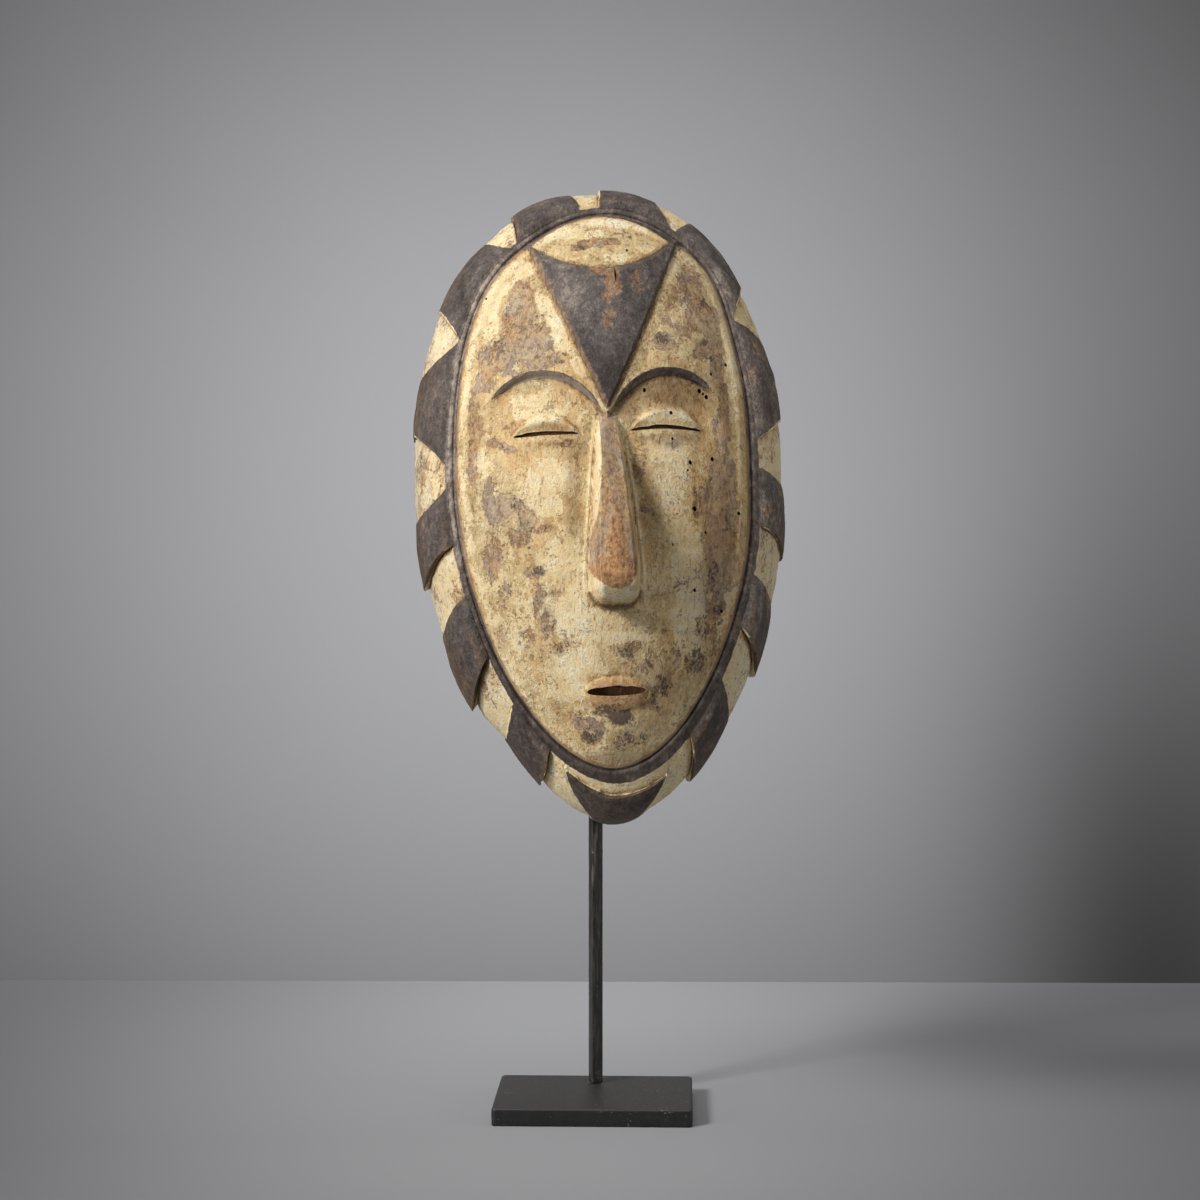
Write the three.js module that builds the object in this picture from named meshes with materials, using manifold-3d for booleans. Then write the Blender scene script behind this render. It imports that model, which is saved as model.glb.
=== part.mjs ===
// A carved wooden mask on its display stand: a long oval face with a raised border of alternating
// dark and pale fields, hollow behind, held up by a square steel rod that stands on a steel plate.
// Millimetres, +Z up, the front faces -Y. The origin is the centre of the plate's underside.
import * as THREE from 'three';
import Module from 'manifold-3d';

const wasm = await Module();
wasm.setup();

// Driving dimensions, in millimetres and degrees.
// The mask is drawn in its own frame: x to the viewer's right, z up, and depth forward from the
// plane of its back rim. Clock angles run clockwise from the top, as the viewer sees it.
const maskPose = { x: 0.8, y: 32.2, z: 315.2, turn: 5.8, leanBack: 6, tilt: 1.6 };
const outline = { half: 95, top: 152.3, bottom: 170.8, powerTop: 2.17, powerBottom: 1.78 };
const panel = { half: 74.6, top: 139, bottom: 145.6, powerTop: 2.24, powerBottom: 1.84 };
const unevenness = [
  { clock: 20, spread: 10, out: 2.3 },
  { clock: 90, spread: 22, out: -2 },
  { clock: 198, spread: 10, out: -5.5 },
  { clock: 222, spread: 12, out: 0.8 },
  { clock: 340, spread: 11, out: -1.5 },
];
const panelUnevenness = [
  { clock: 348, spread: 14, out: -6 },
  { clock: 10, spread: 8, out: -1.2 },
  { clock: 30, spread: 9, out: 3.2 },
  { clock: 90, spread: 32, out: -2.6 },
  { clock: 150, spread: 24, out: -1.7 },
  { clock: 193, spread: 22, out: -1.9 },
];
const crownDepth = 84; // at the middle of the face, under the nose
const panelEdge = { depth: 55, dropAtTop: 17, dropAtChin: 8 };
const sideWall = { depth: 20, dropAtTop: 8, dropAtChin: 4 };
const domePower = 2.4;
const borderPower = 1.7;

const bead = { inside: 4.5, half: 4, height: 1.6 }; // raised lip just inside the panel's edge
const groove = { width: 1.4, depth: 1.6 }; // cut all round the panel
const ring = { width: 4.2, sink: 0.4 }; // plain band outside the groove
const ringUnevenness = [{ clock: 170, spread: 27, out: 3.4 }, { clock: 115, spread: 45, out: 1.2 }];

const hollow = { rim: 14, depth: 70, power: 2.8, roundness: 0.56 };

// The 13 pale fields, clockwise from the top: where each one starts and ends at the ring and at
// the outline, how its two edges bend on their way out (1 is even, more is later), and how far
// the dark field after it stands proud at its own start and end.
const paleFields = [
  { ring: [-2.9, 1.1], rim: [-4.6, 1.8], bend: [2.5, 0.85], lift: [2.2, 1] },
  { ring: [17.4, 17.9], rim: [12.9, 21.2], bend: [0.6, 1], lift: [0.8, 2] },
  { ring: [40.2, 41.1], rim: [37, 51.5], bend: [0.7, 1.3], lift: [0.4, 1.4] },
  { ring: [77.4, 87.6], rim: [71.4, 93.1], bend: [1, 1.3], lift: [0.5, 1.8] },
  { ring: [108.5, 124.4], rim: [114.5, 127.6], bend: [3.5, 2], lift: [0.5, 3.6] },
  { ring: [139, 151.4], rim: [142.8, 153.2], bend: [3, 1], lift: [0.5, 3.2] },
  { ring: [163.3, 169.3], rim: [165.2, 175.3], bend: [2.5, 2], lift: [1.4, 1.4] },
  { ring: [189.7, 193.2], rim: [183.6, 193.3], bend: [2, 1], lift: [3.2, 0.6] },
  { ring: [204.1, 215], rim: [202.4, 211.3], bend: [1, 1.7], lift: [4, 0.6] },
  { ring: [231.7, 247.7], rim: [228, 241.3], bend: [2.5, 2.5], lift: [3.2, 0.6] },
  { ring: [268.6, 275.9], rim: [260.2, 286.1], bend: [0.7, 0.85], lift: [1.2, 0.5] },
  { ring: [315.4, 316], rim: [302.2, 319], bend: [1, 0.7], lift: [1.4, 0.6] },
  { ring: [341.2, 341.9], rim: [336, 343.8], bend: [0.6, 0.7], lift: [2.2, 0.8] },
];
const darkBulge = 0.7; // how far a dark field swells between its ends
const chinField = { after: 6, start: 0.33, drop: 0.2 }; // the lowest dark field starts part way out
const fieldRings = [0, 0.3, chinField.start, 0.6, 0.8, 0.93, 1]; // parts of the way out
const stepLean = 0.12; // degrees to each side of a field's edge

const brow = { apexX: 33.2, apexZ: 51.4, bevel: 3.4, inner: [29.5, 17, 2.3], outer: [23, 11, 2] };
const socket = { depth: 4.2, fadeDown: 62, fadeFrom: 46, fadeTo: 61, clear: 0.1 };
const eyes = [
  { x: -30.2, z: 20, half: 16, arch: 0.7, lid: 6 },
  { x: 28.8, z: 21.7, half: 18, arch: 1.5, lid: 7.4 },
];
const lidHeight = { atSlit: 1, atCrease: 3 };
const aboveLid = [[1.35, 0.6], [1.75, 0]]; // heights above the crease, in parts of the lid's
const eyeSlit = { height: 1.9, depth: 5 }; // height at its middle
const nose = { rootZ: 30, baseZ: -65, height: 25, rootHeight: 3, underside: 11, tipX: 1 };
const noseBase = { root: 4.4, tip: 13.6 }; // half widths where it meets the face
const noseRidge = { root: 2.6, tip: 7.8 }; // half widths of its rounded front
const mouth = { x: 1.2, z: -106.9, half: 17.2, lips: 8.2, height: 2.8 };
const mouthSlit = { x: 0.8, z: -106.1, half: 14.2, height: 4.7, depth: 7 };
const triangle = { tipZ: 30, topZ: 117, topHalf: 36.4, leanRight: 3.2, height: 2.4, bevel: 1.8 };
const triangleCurve = 0.94; // how its sides bend in
const lens = { bottomZ: 105.2, half: 35, sag: 14.9 };

// A raised form's edge lies sunk below the face, and its root reaches into the wood behind it.
const sunk = 0.4;
const rooted = 5;
const cutFront = 30; // how far a cut reaches out in front of the face
const cutBehind = 5; // how far the hollow's cut reaches out behind the rim

const gap = 0.3; // between pieces that touch
const plate = { width: 100, depth: 75, thickness: 9, corner: 2, edge: 1.2 };
const rod = { side: 6, y: 20.2, turn: 22.8, top: 444, edge: 0.5 };

// How finely the curved forms are faceted.
const panelCells = 30;
const hollowCells = 18;

const { abs, sin, cos, pow, sqrt, hypot, min, max, PI } = Math;
const radians = THREE.MathUtils.degToRad;
const clamp = (v, low = 0, high = 1) => min(max(v, low), high);
const lerp = THREE.MathUtils.lerp;
const smooth = (from, to, v) => THREE.MathUtils.smoothstep(v, from, to);

// The clock angle of a direction (x, z), and how far one clock angle is past another.
const clockOf = (x, z) => ((Math.atan2(x, z) * 180) / PI + 360) % 360;
const clockGap = (a, b) => ((a - b + 540) % 360) - 180;

function ovalRadius(oval, clock) {
  const across = abs(sin(radians(clock)));
  const up = cos(radians(clock));
  const reach = up > 0 ? oval.top : oval.bottom;
  const power = up > 0 ? oval.powerTop : oval.powerBottom;
  return pow(pow(across / oval.half, power) + pow(abs(up) / reach, power), -1 / power);
}

const bumpsAt = (bumps, clock) => bumps
  .map((bump) => bump.out * Math.exp(-pow(clockGap(clock, bump.clock) / bump.spread, 2)))
  .reduce((a, b) => a + b);
const outlineRadius = (clock) => ovalRadius(outline, clock) + bumpsAt(unevenness, clock);
const panelRadius = (clock) => ovalRadius(panel, clock) + bumpsAt(panelUnevenness, clock);

function panelEdgeDepth(clock) {
  const up = cos(radians(clock));
  const drop = up > 0 ? panelEdge.dropAtTop * pow(up, 2.5) : panelEdge.dropAtChin * pow(-up, 3);
  return panelEdge.depth - drop;
}

function sideWallDepth(clock) {
  const up = cos(radians(clock));
  return sideWall.depth - (up > 0 ? sideWall.dropAtTop : sideWall.dropAtChin) * up * up;
}

// The face's broad form: a dome with a raised lip along its edge.
function domeDepth(x, z) {
  const clock = clockOf(x, z);
  const edgeRadius = panelRadius(clock);
  const radius = hypot(x, z);
  const edge = panelEdgeDepth(clock);
  const dome = edge + (crownDepth - edge) * (1 - pow(clamp(radius / edgeRadius), domePower));
  const off = (edgeRadius - radius - bead.inside) / bead.half;
  return dome + (abs(off) < 1 ? bead.height * pow(cos((off * PI) / 2), 2) : 0);
}

// Height of the brow's lower edge over an eye.
function browLine(x) {
  const off = abs(x) - brow.apexX;
  const [reach, drop, power] = off < 0 ? brow.inner : brow.outer;
  return brow.apexZ - drop * pow(abs(off) / reach, power);
}

// How far the eye sockets and the cheeks lie back under the brow.
function socketDepth(x, z) {
  const below = browLine(x) - z;
  const down = 0.5 + 0.5 * cos(PI * clamp(below / socket.fadeDown));
  const outwards = 1 - smooth(socket.fadeFrom, socket.fadeTo, abs(x));
  return socket.depth * clamp(below / brow.bevel) * down * outwards;
}

const faceDepth = (x, z) => domeDepth(x, z) - socketDepth(x, z);

// A solid from a list of points and triangles, with its faces turned outwards.
function solidFrom(points, triangles) {
  let volume = 0;
  const corner = new THREE.Vector3();
  for (const [a, b, c] of triangles) {
    volume += corner.copy(points[a]).cross(points[b]).dot(points[c]);
  }
  const outward = volume > 0 ? triangles : triangles.map(([a, b, c]) => [a, c, b]);
  const vertProperties = new Float32Array(points.flatMap((p) => [p.x, p.y, p.z]));
  return new wasm.Manifold(
    new wasm.Mesh({ numProp: 3, vertProperties, triVerts: new Uint32Array(outward.flat()) }));
}

const at = (x, depth, z) => new THREE.Vector3(x, -depth, z);

// A slab over a grid: place(u, v) gives x and z for u and v from 0 to 1, and front and back give
// the two depths there.
function slab(columns, rows, place, front, back) {
  const points = [];
  for (const face of [front, back]) {
    for (let j = 0; j <= rows; j += 1) {
      for (let i = 0; i <= columns; i += 1) {
        const [u, v] = [i / columns, j / rows];
        const [x, z] = place(u, v);
        points.push(at(x, face(x, z, u, v), z));
      }
    }
  }
  const layer = (columns + 1) * (rows + 1);
  const id = (i, j, side) => side * layer + j * (columns + 1) + i;
  const triangles = [];
  const quad = (a, b, c, d) => triangles.push([a, b, c], [a, c, d]);
  for (let j = 0; j < rows; j += 1) {
    for (let i = 0; i < columns; i += 1) {
      quad(id(i, j, 0), id(i + 1, j, 0), id(i + 1, j + 1, 0), id(i, j + 1, 0));
      quad(id(i, j + 1, 1), id(i + 1, j + 1, 1), id(i + 1, j, 1), id(i, j, 1));
    }
  }
  for (let i = 0; i < columns; i += 1) {
    quad(id(i + 1, 0, 0), id(i, 0, 0), id(i, 0, 1), id(i + 1, 0, 1));
    quad(id(i, rows, 0), id(i + 1, rows, 0), id(i + 1, rows, 1), id(i, rows, 1));
  }
  for (let j = 0; j < rows; j += 1) {
    quad(id(0, j, 0), id(0, j + 1, 0), id(0, j + 1, 1), id(0, j, 1));
    quad(id(columns, j + 1, 0), id(columns, j, 0), id(columns, j, 1), id(columns, j + 1, 1));
  }
  return solidFrom(points, triangles);
}

// Evenly spaced clock angles for a disc of so many cells.
const evenClocks = (cells) => [...Array(4 * cells).keys()].map((k) => (k * 360) / (4 * cells));

// A round solid: a square grid bent into a disc, then rings round it, then a flat back.
// clocks are the angles of the disc's edge, disc(clock, share) gives a point of the front, share
// running from the middle to the edge, and each ring gives a point for the index of an edge
// point. The last ring is the edge of the back.
function discSolid(cells, clocks, shares, disc, rings) {
  const points = [];
  const ids = [];
  const half = cells / 2;
  const round = clocks.length;
  let loop = [];
  for (let j = 0; j <= cells; j += 1) {
    for (let i = 0; i <= cells; i += 1) {
      const [u, v] = [i - half, j - half];
      const level = max(abs(u), abs(v));
      const along = v === level ? (u + 8 * level) % (8 * level || 1)
        : u === level ? 2 * level - v
          : v === -level ? 4 * level - u
            : 6 * level + v;
      const index = level === 0 ? 0 : (along * half) / level;
      const before = Math.floor(index);
      const after = clocks[(before + 1) % round] + (before + 1 < round ? 0 : 360);
      const onEdge = lerp(clocks[before], after, index - before);
      const clock = lerp((index * 360) / round, onEdge, pow(level / half, 2));
      if (level === half) loop[index] = points.length;
      ids.push(points.length);
      points.push(disc(clock, shares[level]));
    }
  }
  const id = (i, j) => ids[j * (cells + 1) + i];
  const triangles = [];
  for (let j = 0; j < cells; j += 1) {
    for (let i = 0; i < cells; i += 1) {
      const [a, b, c, d] = [id(i, j), id(i + 1, j), id(i + 1, j + 1), id(i, j + 1)];
      if ((i < half) === (j < half)) triangles.push([a, b, c], [a, c, d]);
      else triangles.push([a, b, d], [b, c, d]);
    }
  }
  for (const ringAt of rings) {
    const next = clocks.map((_, k) => points.push(ringAt(k)) - 1);
    for (let k = 0; k < round; k += 1) {
      const m = (k + 1) % round;
      triangles.push([loop[k], loop[m], next[m]], [loop[k], next[m], next[k]]);
    }
    loop = next;
  }
  const middle = points.push(at(0, -points[loop[0]].y, 0)) - 1;
  for (let k = 0; k < round; k += 1) {
    triangles.push([loop[k], loop[(k + 1) % round], middle]);
  }
  return solidFrom(points, triangles);
}

// Rings of the disc, closer together where the raised lip runs along its edge.
function lipShares(count) {
  const steps = [0.9, 0.925, 0.945, 0.965, 0.985, 1];
  const inner = count - steps.length + 1;
  return [...Array(inner).keys()].map((k) => (k / inner) * steps[0]).concat(steps);
}

const ringWidth = (clock) => ring.width + bumpsAt(ringUnevenness, clock);

// A point of the border: share runs from the panel's edge to the outline.
function borderPoint(clock, share, lift) {
  const [inner, outer] = [panelRadius(clock), outlineRadius(clock)];
  const wall = sideWallDepth(clock);
  const depth = wall + (panelEdgeDepth(clock) - wall) * sqrt(1 - pow(share, borderPower));
  const facing = (share * PI) / 2;
  const radius = lerp(inner, outer, share) + lift * sin(facing);
  const angle = radians(clock);
  return at(radius * sin(angle), depth + lift * cos(facing), radius * cos(angle));
}

const shareAt = (clock, width) => width / (outlineRadius(clock) - panelRadius(clock));

// The border's mesh lines. Each runs from the ring to the outline along the edges of the fields,
// with two of them close together at each edge, where the dark field steps down to the pale one.
function borderSpokes(count) {
  const edge = (pale, k, turn = 0) =>
    ({ ring: pale.ring[k] + turn, rim: pale.rim[k] + turn, bend: pale.bend[k] });
  const fields = paleFields.flatMap((pale, index) => {
    const next = paleFields[(index + 1) % paleFields.length];
    const turn = index + 1 < paleFields.length ? 0 : 360;
    const onChin = index === chinField.after;
    return [
      { edges: [edge(pale, 0), edge(pale, 1)], lift: [0, 0], bulge: 0, start: [0, 0] },
      {
        edges: [edge(pale, 1), edge(next, 0, turn)],
        lift: pale.lift,
        bulge: darkBulge,
        start: onChin ? [chinField.start, chinField.start - chinField.drop] : [0, 0],
      },
    ];
  });
  const cells = fields.map(() => 1);
  for (let spare = count - 2 * fields.length; spare > 0; spare -= 1) {
    const widths = fields.map(({ edges }, k) => (edges[1].rim - edges[0].rim) / cells[k]);
    cells[widths.indexOf(max(...widths))] += 1;
  }
  return fields.flatMap(({ edges, lift, bulge, start }, k) =>
    [...Array(cells[k] + 1).keys()].map((i) => {
      const along = i / cells[k];
      return {
        edges,
        along,
        lift: lerp(lift[0], lift[1], along) + bulge * sin(PI * along),
        start: lerp(start[0], start[1], pow(along, 4)),
      };
    }));
}

// The clock angle of a mesh line part of the way out.
function spokeClock({ edges, along }, part) {
  const [from, to] = edges.map(({ ring: inner, rim: outer, bend }) =>
    lerp(inner, outer, pow(part, bend)));
  return lerp(from + stepLean, to - stepLean, along);
}

// The whole outer form without its hollow.
function outerForm() {
  const spokes = borderSpokes(4 * panelCells);
  const clocks = spokes.map((spoke) => spokeClock(spoke, 0));
  const onRing = (width, sink) => (k) => borderPoint(clocks[k], shareAt(clocks[k], width), -sink);
  const onField = (part) => (k) => {
    const clock = spokeClock(spokes[k], part);
    const share = lerp(shareAt(clock, ringWidth(clock)), 1, part);
    return borderPoint(clock, share, part < spokes[k].start ? 0 : spokes[k].lift);
  };
  const rings = [
    onRing(groove.width / 2, groove.depth),
    onRing(groove.width, ring.sink),
    (k) => borderPoint(clocks[k], shareAt(clocks[k], ringWidth(clocks[k]) - 0.5), -ring.sink),
    ...fieldRings.map(onField),
    (k) => onField(1)(k).setY(0),
  ];
  const disc = (clock, share) => {
    const radius = panelRadius(clock) * share;
    const [x, z] = [radius * sin(radians(clock)), radius * cos(radians(clock))];
    return at(x, domeDepth(x, z), z);
  };
  return discSolid(panelCells, clocks, lipShares(panelCells / 2), disc, rings);
}

// The space behind the face.
function hollowForm() {
  const clocks = evenClocks(hollowCells);
  const disc = (clock, share) => {
    const radius = (outlineRadius(clock) - hollow.rim) * share;
    const depth = hollow.depth * pow(1 - pow(share, hollow.power), hollow.roundness);
    return at(radius * sin(radians(clock)), depth, radius * cos(radians(clock)));
  };
  const half = hollowCells / 2;
  const shares = [...Array(half + 1).keys()].map((k) => pow(sin((k / half) * (PI / 2)), 0.9));
  const behindTheRim = (k) => disc(clocks[k], 1).setY(cutBehind);
  return discSolid(hollowCells, clocks, shares, disc, [behindTheRim]);
}

// An eye socket, cut back under the bevelled edge of the brow.
function socketCut(side) {
  const drops = [0, brow.bevel, 8, 14, 22, 32, 44, socket.fadeDown];
  const rows = drops.length - 1;
  const place = (u, v) => {
    const x = side * lerp(0.5, socket.fadeTo + 1, u);
    return [x, browLine(x) - drops[Math.round(v * rows)]];
  };
  const above = (x, z) => domeDepth(x, z) + cutFront;
  return slab(14, rows, place, above, (x, z) => faceDepth(x, z) + socket.clear);
}

// The raised dark triangle on the forehead, with bevelled edges, under the pale lens.
function triangleRelief() {
  const [columns, rows] = [8, 11];
  const place = (u, v) => {
    const edge = clamp(Math.round(v * rows) / (rows - 1));
    const guess = lerp(triangle.tipZ, lens.bottomZ + lens.sag, edge);
    const half = triangleHalf(guess);
    const inside = clamp(1 - triangle.bevel / half, 0.3);
    const column = Math.round(u * columns);
    const across = column === 0 ? -1 : column === columns ? 1
      : lerp(-inside, inside, (column - 1) / (columns - 2));
    const top = lens.bottomZ + lens.sag * across * across - (v < 1 ? triangle.bevel : 0);
    const z = lerp(triangle.tipZ, top, v < 1 ? edge : 1);
    return [triangleMiddle(z) + across * triangleHalf(z), z];
  };
  const front = (x, z, u, v) => {
    const onEdge = u === 0 || u === 1 || v === 1;
    return domeDepth(x, z) + (onEdge ? -sunk : triangle.height);
  };
  return slab(columns, rows, place, front, (x, z) => domeDepth(x, z) - rooted);
}

const triangleShare = (z) => clamp((z - triangle.tipZ) / (triangle.topZ - triangle.tipZ), 0.004);
const triangleMiddle = (z) => triangle.leanRight * triangleShare(z);
const triangleHalf = (z) => triangle.topHalf * pow(triangleShare(z), triangleCurve);

// How far down the nose a height is, how its width grows, and how its underside rounds off.
function noseAt(z) {
  const down = clamp((nose.rootZ - z) / (nose.rootZ - nose.baseZ));
  const widen = pow(min(down / 0.8, 1), 0.7);
  const under = sqrt(1 - pow(clamp((nose.baseZ + nose.underside - z) / nose.underside), 2));
  const rounding = lerp(0.62, 1, under);
  return {
    middle: nose.tipX * down,
    base: lerp(noseBase.root, noseBase.tip, widen) * rounding,
    ridge: lerp(noseRidge.root, noseRidge.tip, widen) * rounding,
    height: lerp(nose.rootHeight, nose.height, pow(min(down / 0.86, 1), 0.82)) * under,
  };
}

function noseHeight(x, z) {
  const { middle, base, ridge, height } = noseAt(z);
  return height * (1 - smooth(ridge, base, abs(x - middle)));
}

function noseRelief() {
  const place = (u, v) => {
    const z = lerp(nose.rootZ + 2, nose.baseZ - sunk, 1 - pow(1 - v, 1.3));
    const { middle, base } = noseAt(z);
    return [middle + (base + sunk) * (u * 2 - 1), z];
  };
  const front = (x, z) => faceDepth(x, z) + noseHeight(x, z) - sunk;
  return slab(12, 18, place, front, (x, z) => faceDepth(x, z) - rooted);
}

// The line of an eye slit.
const slitLine = (eye, x) => eye.z - eye.arch * pow((x - eye.x) / eye.half, 2);

// An upper lid: it falls from the crease to the slit, and slowly from the crease up to the brow.
function lidRelief(eye) {
  const levels = [
    [0, lidHeight.atSlit],
    [0.5, lerp(lidHeight.atSlit, lidHeight.atCrease, 0.5)],
    [1, lidHeight.atCrease],
    ...aboveLid.map(([up, part]) => [up, part > 0 ? lidHeight.atCrease * part : -sunk]),
  ];
  const rows = levels.length - 1;
  const arch = (u) => max(1 - pow(u * 2 - 1, 2), 0.02);
  const place = (u, v) => {
    const x = eye.x + (u * 2 - 1) * (eye.half + 0.8);
    return [x, slitLine(eye, x) + levels[Math.round(v * rows)][0] * eye.lid * arch(u)];
  };
  const front = (x, z, u, v) => {
    const height = levels[Math.round(v * rows)][1] + sunk;
    return faceDepth(x, z) + height * min(arch(u) * 2.5, 1) - sunk;
  };
  return slab(12, rows, place, front, (x, z) => faceDepth(x, z) - rooted);
}

// A deep slit that ends in the wood, thin towards its ends.
function slitCut({ x: x0, half, height, depth }, line) {
  const place = (u, v) => {
    const x = x0 + (u * 2 - 1) * half;
    const open = height * lerp(0.25, 1, sqrt(1 - pow(u * 2 - 1, 2)));
    return [x, line(x) + (v - 0.5) * open];
  };
  return slab(10, 2, place, () => crownDepth + cutFront, (x, z) => faceDepth(x, z) - depth);
}

function lipsRelief() {
  const place = (u, v) => {
    const across = u * 2 - 1;
    const open = max(sqrt(1 - across * across), 0.1);
    return [mouth.x + across * mouth.half, mouth.z + (v * 2 - 1) * mouth.lips * open];
  };
  const front = (x, z, u, v) => {
    const round = sqrt(max(1 - pow(v * 2 - 1, 2), 0)) * (1 - pow(u * 2 - 1, 4));
    return faceDepth(x, z) + (mouth.height + sunk) * round - sunk;
  };
  return slab(14, 8, place, front, (x, z) => faceDepth(x, z) - rooted);
}

function maskGeometry() {
  let body = outerForm().add(triangleRelief());
  body = body.subtract(socketCut(-1)).subtract(socketCut(1));
  body = body.add(noseRelief()).add(lipsRelief());
  for (const eye of eyes) body = body.add(lidRelief(eye));
  body = body.subtract(hollowForm());
  for (const eye of eyes) {
    const slit = { ...eyeSlit, x: eye.x, half: eye.half - 0.5 };
    body = body.subtract(slitCut(slit, (x) => slitLine(eye, x)));
  }
  body = body.subtract(slitCut(mouthSlit, () => mouthSlit.z));
  const { vertProperties, triVerts } = body.getMesh();
  const geometry = new THREE.BufferGeometry();
  geometry.setAttribute('position', new THREE.BufferAttribute(vertProperties, 3));
  geometry.setIndex(new THREE.BufferAttribute(triVerts, 1));
  geometry.computeVertexNormals();
  return geometry;
}

// A rectangle with rounded corners, centred on the origin.
function roundedRectangle(width, height, radius) {
  const shape = new THREE.Shape();
  const [w, h] = [width / 2 - radius, height / 2 - radius];
  shape.absarc(w, h, radius, 0, PI / 2);
  shape.absarc(-w, h, radius, PI / 2, PI);
  shape.absarc(-w, -h, radius, PI, (3 * PI) / 2);
  shape.absarc(w, -h, radius, (3 * PI) / 2, 2 * PI);
  return shape;
}

// A bar or plate standing on z = 0, with its ends' edges rounded.
function roundedBar(width, depth, height, corner, edge) {
  const shape = roundedRectangle(width - 2 * edge, depth - 2 * edge, corner);
  const geometry = new THREE.ExtrudeGeometry(shape, {
    depth: height - 2 * edge,
    bevelSize: edge,
    bevelThickness: edge,
    bevelSegments: 1,
    curveSegments: 2,
  });
  geometry.translate(0, 0, edge);
  return geometry;
}

const paintedWood = new THREE.MeshStandardMaterial({ color: 0xb59a6c, roughness: 0.75 });
const blackRod = new THREE.MeshStandardMaterial({ color: 0x33302d, roughness: 0.5, metalness: 0.4 });
const blackPlate = new THREE.MeshStandardMaterial({ color: 0x2e2d2c, roughness: 0.6, metalness: 0.4 });

function piece(name, geometry, material) {
  const mesh = new THREE.Mesh(geometry, material);
  mesh.name = name;
  return mesh;
}

const group = new THREE.Group();

const maskMesh = piece('mask', maskGeometry(), paintedWood);
maskMesh.position.set(maskPose.x, maskPose.y, maskPose.z);
maskMesh.rotation.set(
  radians(-maskPose.leanBack), radians(-maskPose.tilt), radians(maskPose.turn), 'ZXY');
group.add(maskMesh);

const rodFoot = plate.thickness + gap;
const rodMesh = piece(
  'rod', roundedBar(rod.side, rod.side, rod.top - rodFoot, 0.4, rod.edge), blackRod);
rodMesh.position.set(0, rod.y, rodFoot);
rodMesh.rotation.z = radians(rod.turn);
group.add(rodMesh);

group.add(piece(
  'base_plate',
  roundedBar(plate.width, plate.depth, plate.thickness, plate.corner, plate.edge),
  blackPlate));

export default group;
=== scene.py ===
import math

import bmesh
import bpy
import numpy as np
from mathutils import Matrix, Vector


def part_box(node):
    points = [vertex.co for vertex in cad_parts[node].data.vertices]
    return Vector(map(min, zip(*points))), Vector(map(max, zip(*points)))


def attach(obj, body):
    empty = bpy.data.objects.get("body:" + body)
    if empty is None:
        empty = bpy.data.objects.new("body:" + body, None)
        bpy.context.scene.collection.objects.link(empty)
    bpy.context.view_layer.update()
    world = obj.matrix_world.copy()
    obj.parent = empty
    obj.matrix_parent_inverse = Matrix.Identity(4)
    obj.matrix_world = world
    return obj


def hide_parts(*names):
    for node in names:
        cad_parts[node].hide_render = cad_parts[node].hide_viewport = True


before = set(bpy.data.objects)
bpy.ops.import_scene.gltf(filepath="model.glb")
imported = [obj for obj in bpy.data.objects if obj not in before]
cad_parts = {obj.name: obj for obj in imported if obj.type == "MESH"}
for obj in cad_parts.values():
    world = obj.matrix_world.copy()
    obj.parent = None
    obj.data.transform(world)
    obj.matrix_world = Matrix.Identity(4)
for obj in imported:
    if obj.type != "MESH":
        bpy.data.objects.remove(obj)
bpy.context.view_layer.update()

millimetre = 0.001
print("frame loaded:", ", ".join(sorted(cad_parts)))


# Noise over points, for carving that isn't quite even

def latticeValues(cells, seed):
    mixed = cells[..., 0] * 73856093 ^ cells[..., 1] * 19349663 ^ cells[..., 2] * 83492791
    mixed = (mixed + seed * 668265263) & 0x7FFFFFFF
    mixed = (mixed ^ (mixed >> 13)) * 1274126177 & 0x7FFFFFFF
    return ((mixed ^ (mixed >> 15)) & 0xFFFF) / 32767.5 - 1


def softNoise(points, size, seed):
    # smooth values from -1 to 1, with bumps about one size apart
    at = points / size + 1000.0
    low = np.floor(at).astype(np.int64)
    t = at - low
    t = t * t * (3 - 2 * t)
    total = np.zeros(len(points))
    for corner in np.ndindex(2, 2, 2):
        weight = np.prod(np.where(np.array(corner) == 1, t, 1 - t), axis=1)
        total += weight * latticeValues(low + np.array(corner), seed)
    return total


def layeredNoise(points, size, seed, layers=4):
    total, reach, strength = np.zeros(len(points)), 0.0, 1.0
    for layer in range(layers):
        total += strength * softNoise(points, size / 2 ** layer, seed + layer)
        reach += strength
        strength *= 0.55
    return total / reach


def ramp(low, high, value):
    t = np.clip((value - low) / (high - low), 0, 1)
    return t * t * (3 - 2 * t)


# The mask's form, in millimetres in its own frame: x to the viewer's right, z up, and depth forward
# from its back rim. Clock angles run clockwise from the top, as the viewer sees it.

pose = {"place": (0.8, 32.2, 315.2), "turn": 5.8, "leanBack": 6.0, "tilt": 1.6}
outline = {"half": 95, "top": 152.3, "bottom": 170.8, "powerTop": 2.17, "powerBottom": 1.78}
panel = {"half": 74.6, "top": 139, "bottom": 145.6, "powerTop": 2.24, "powerBottom": 1.84}
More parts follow.
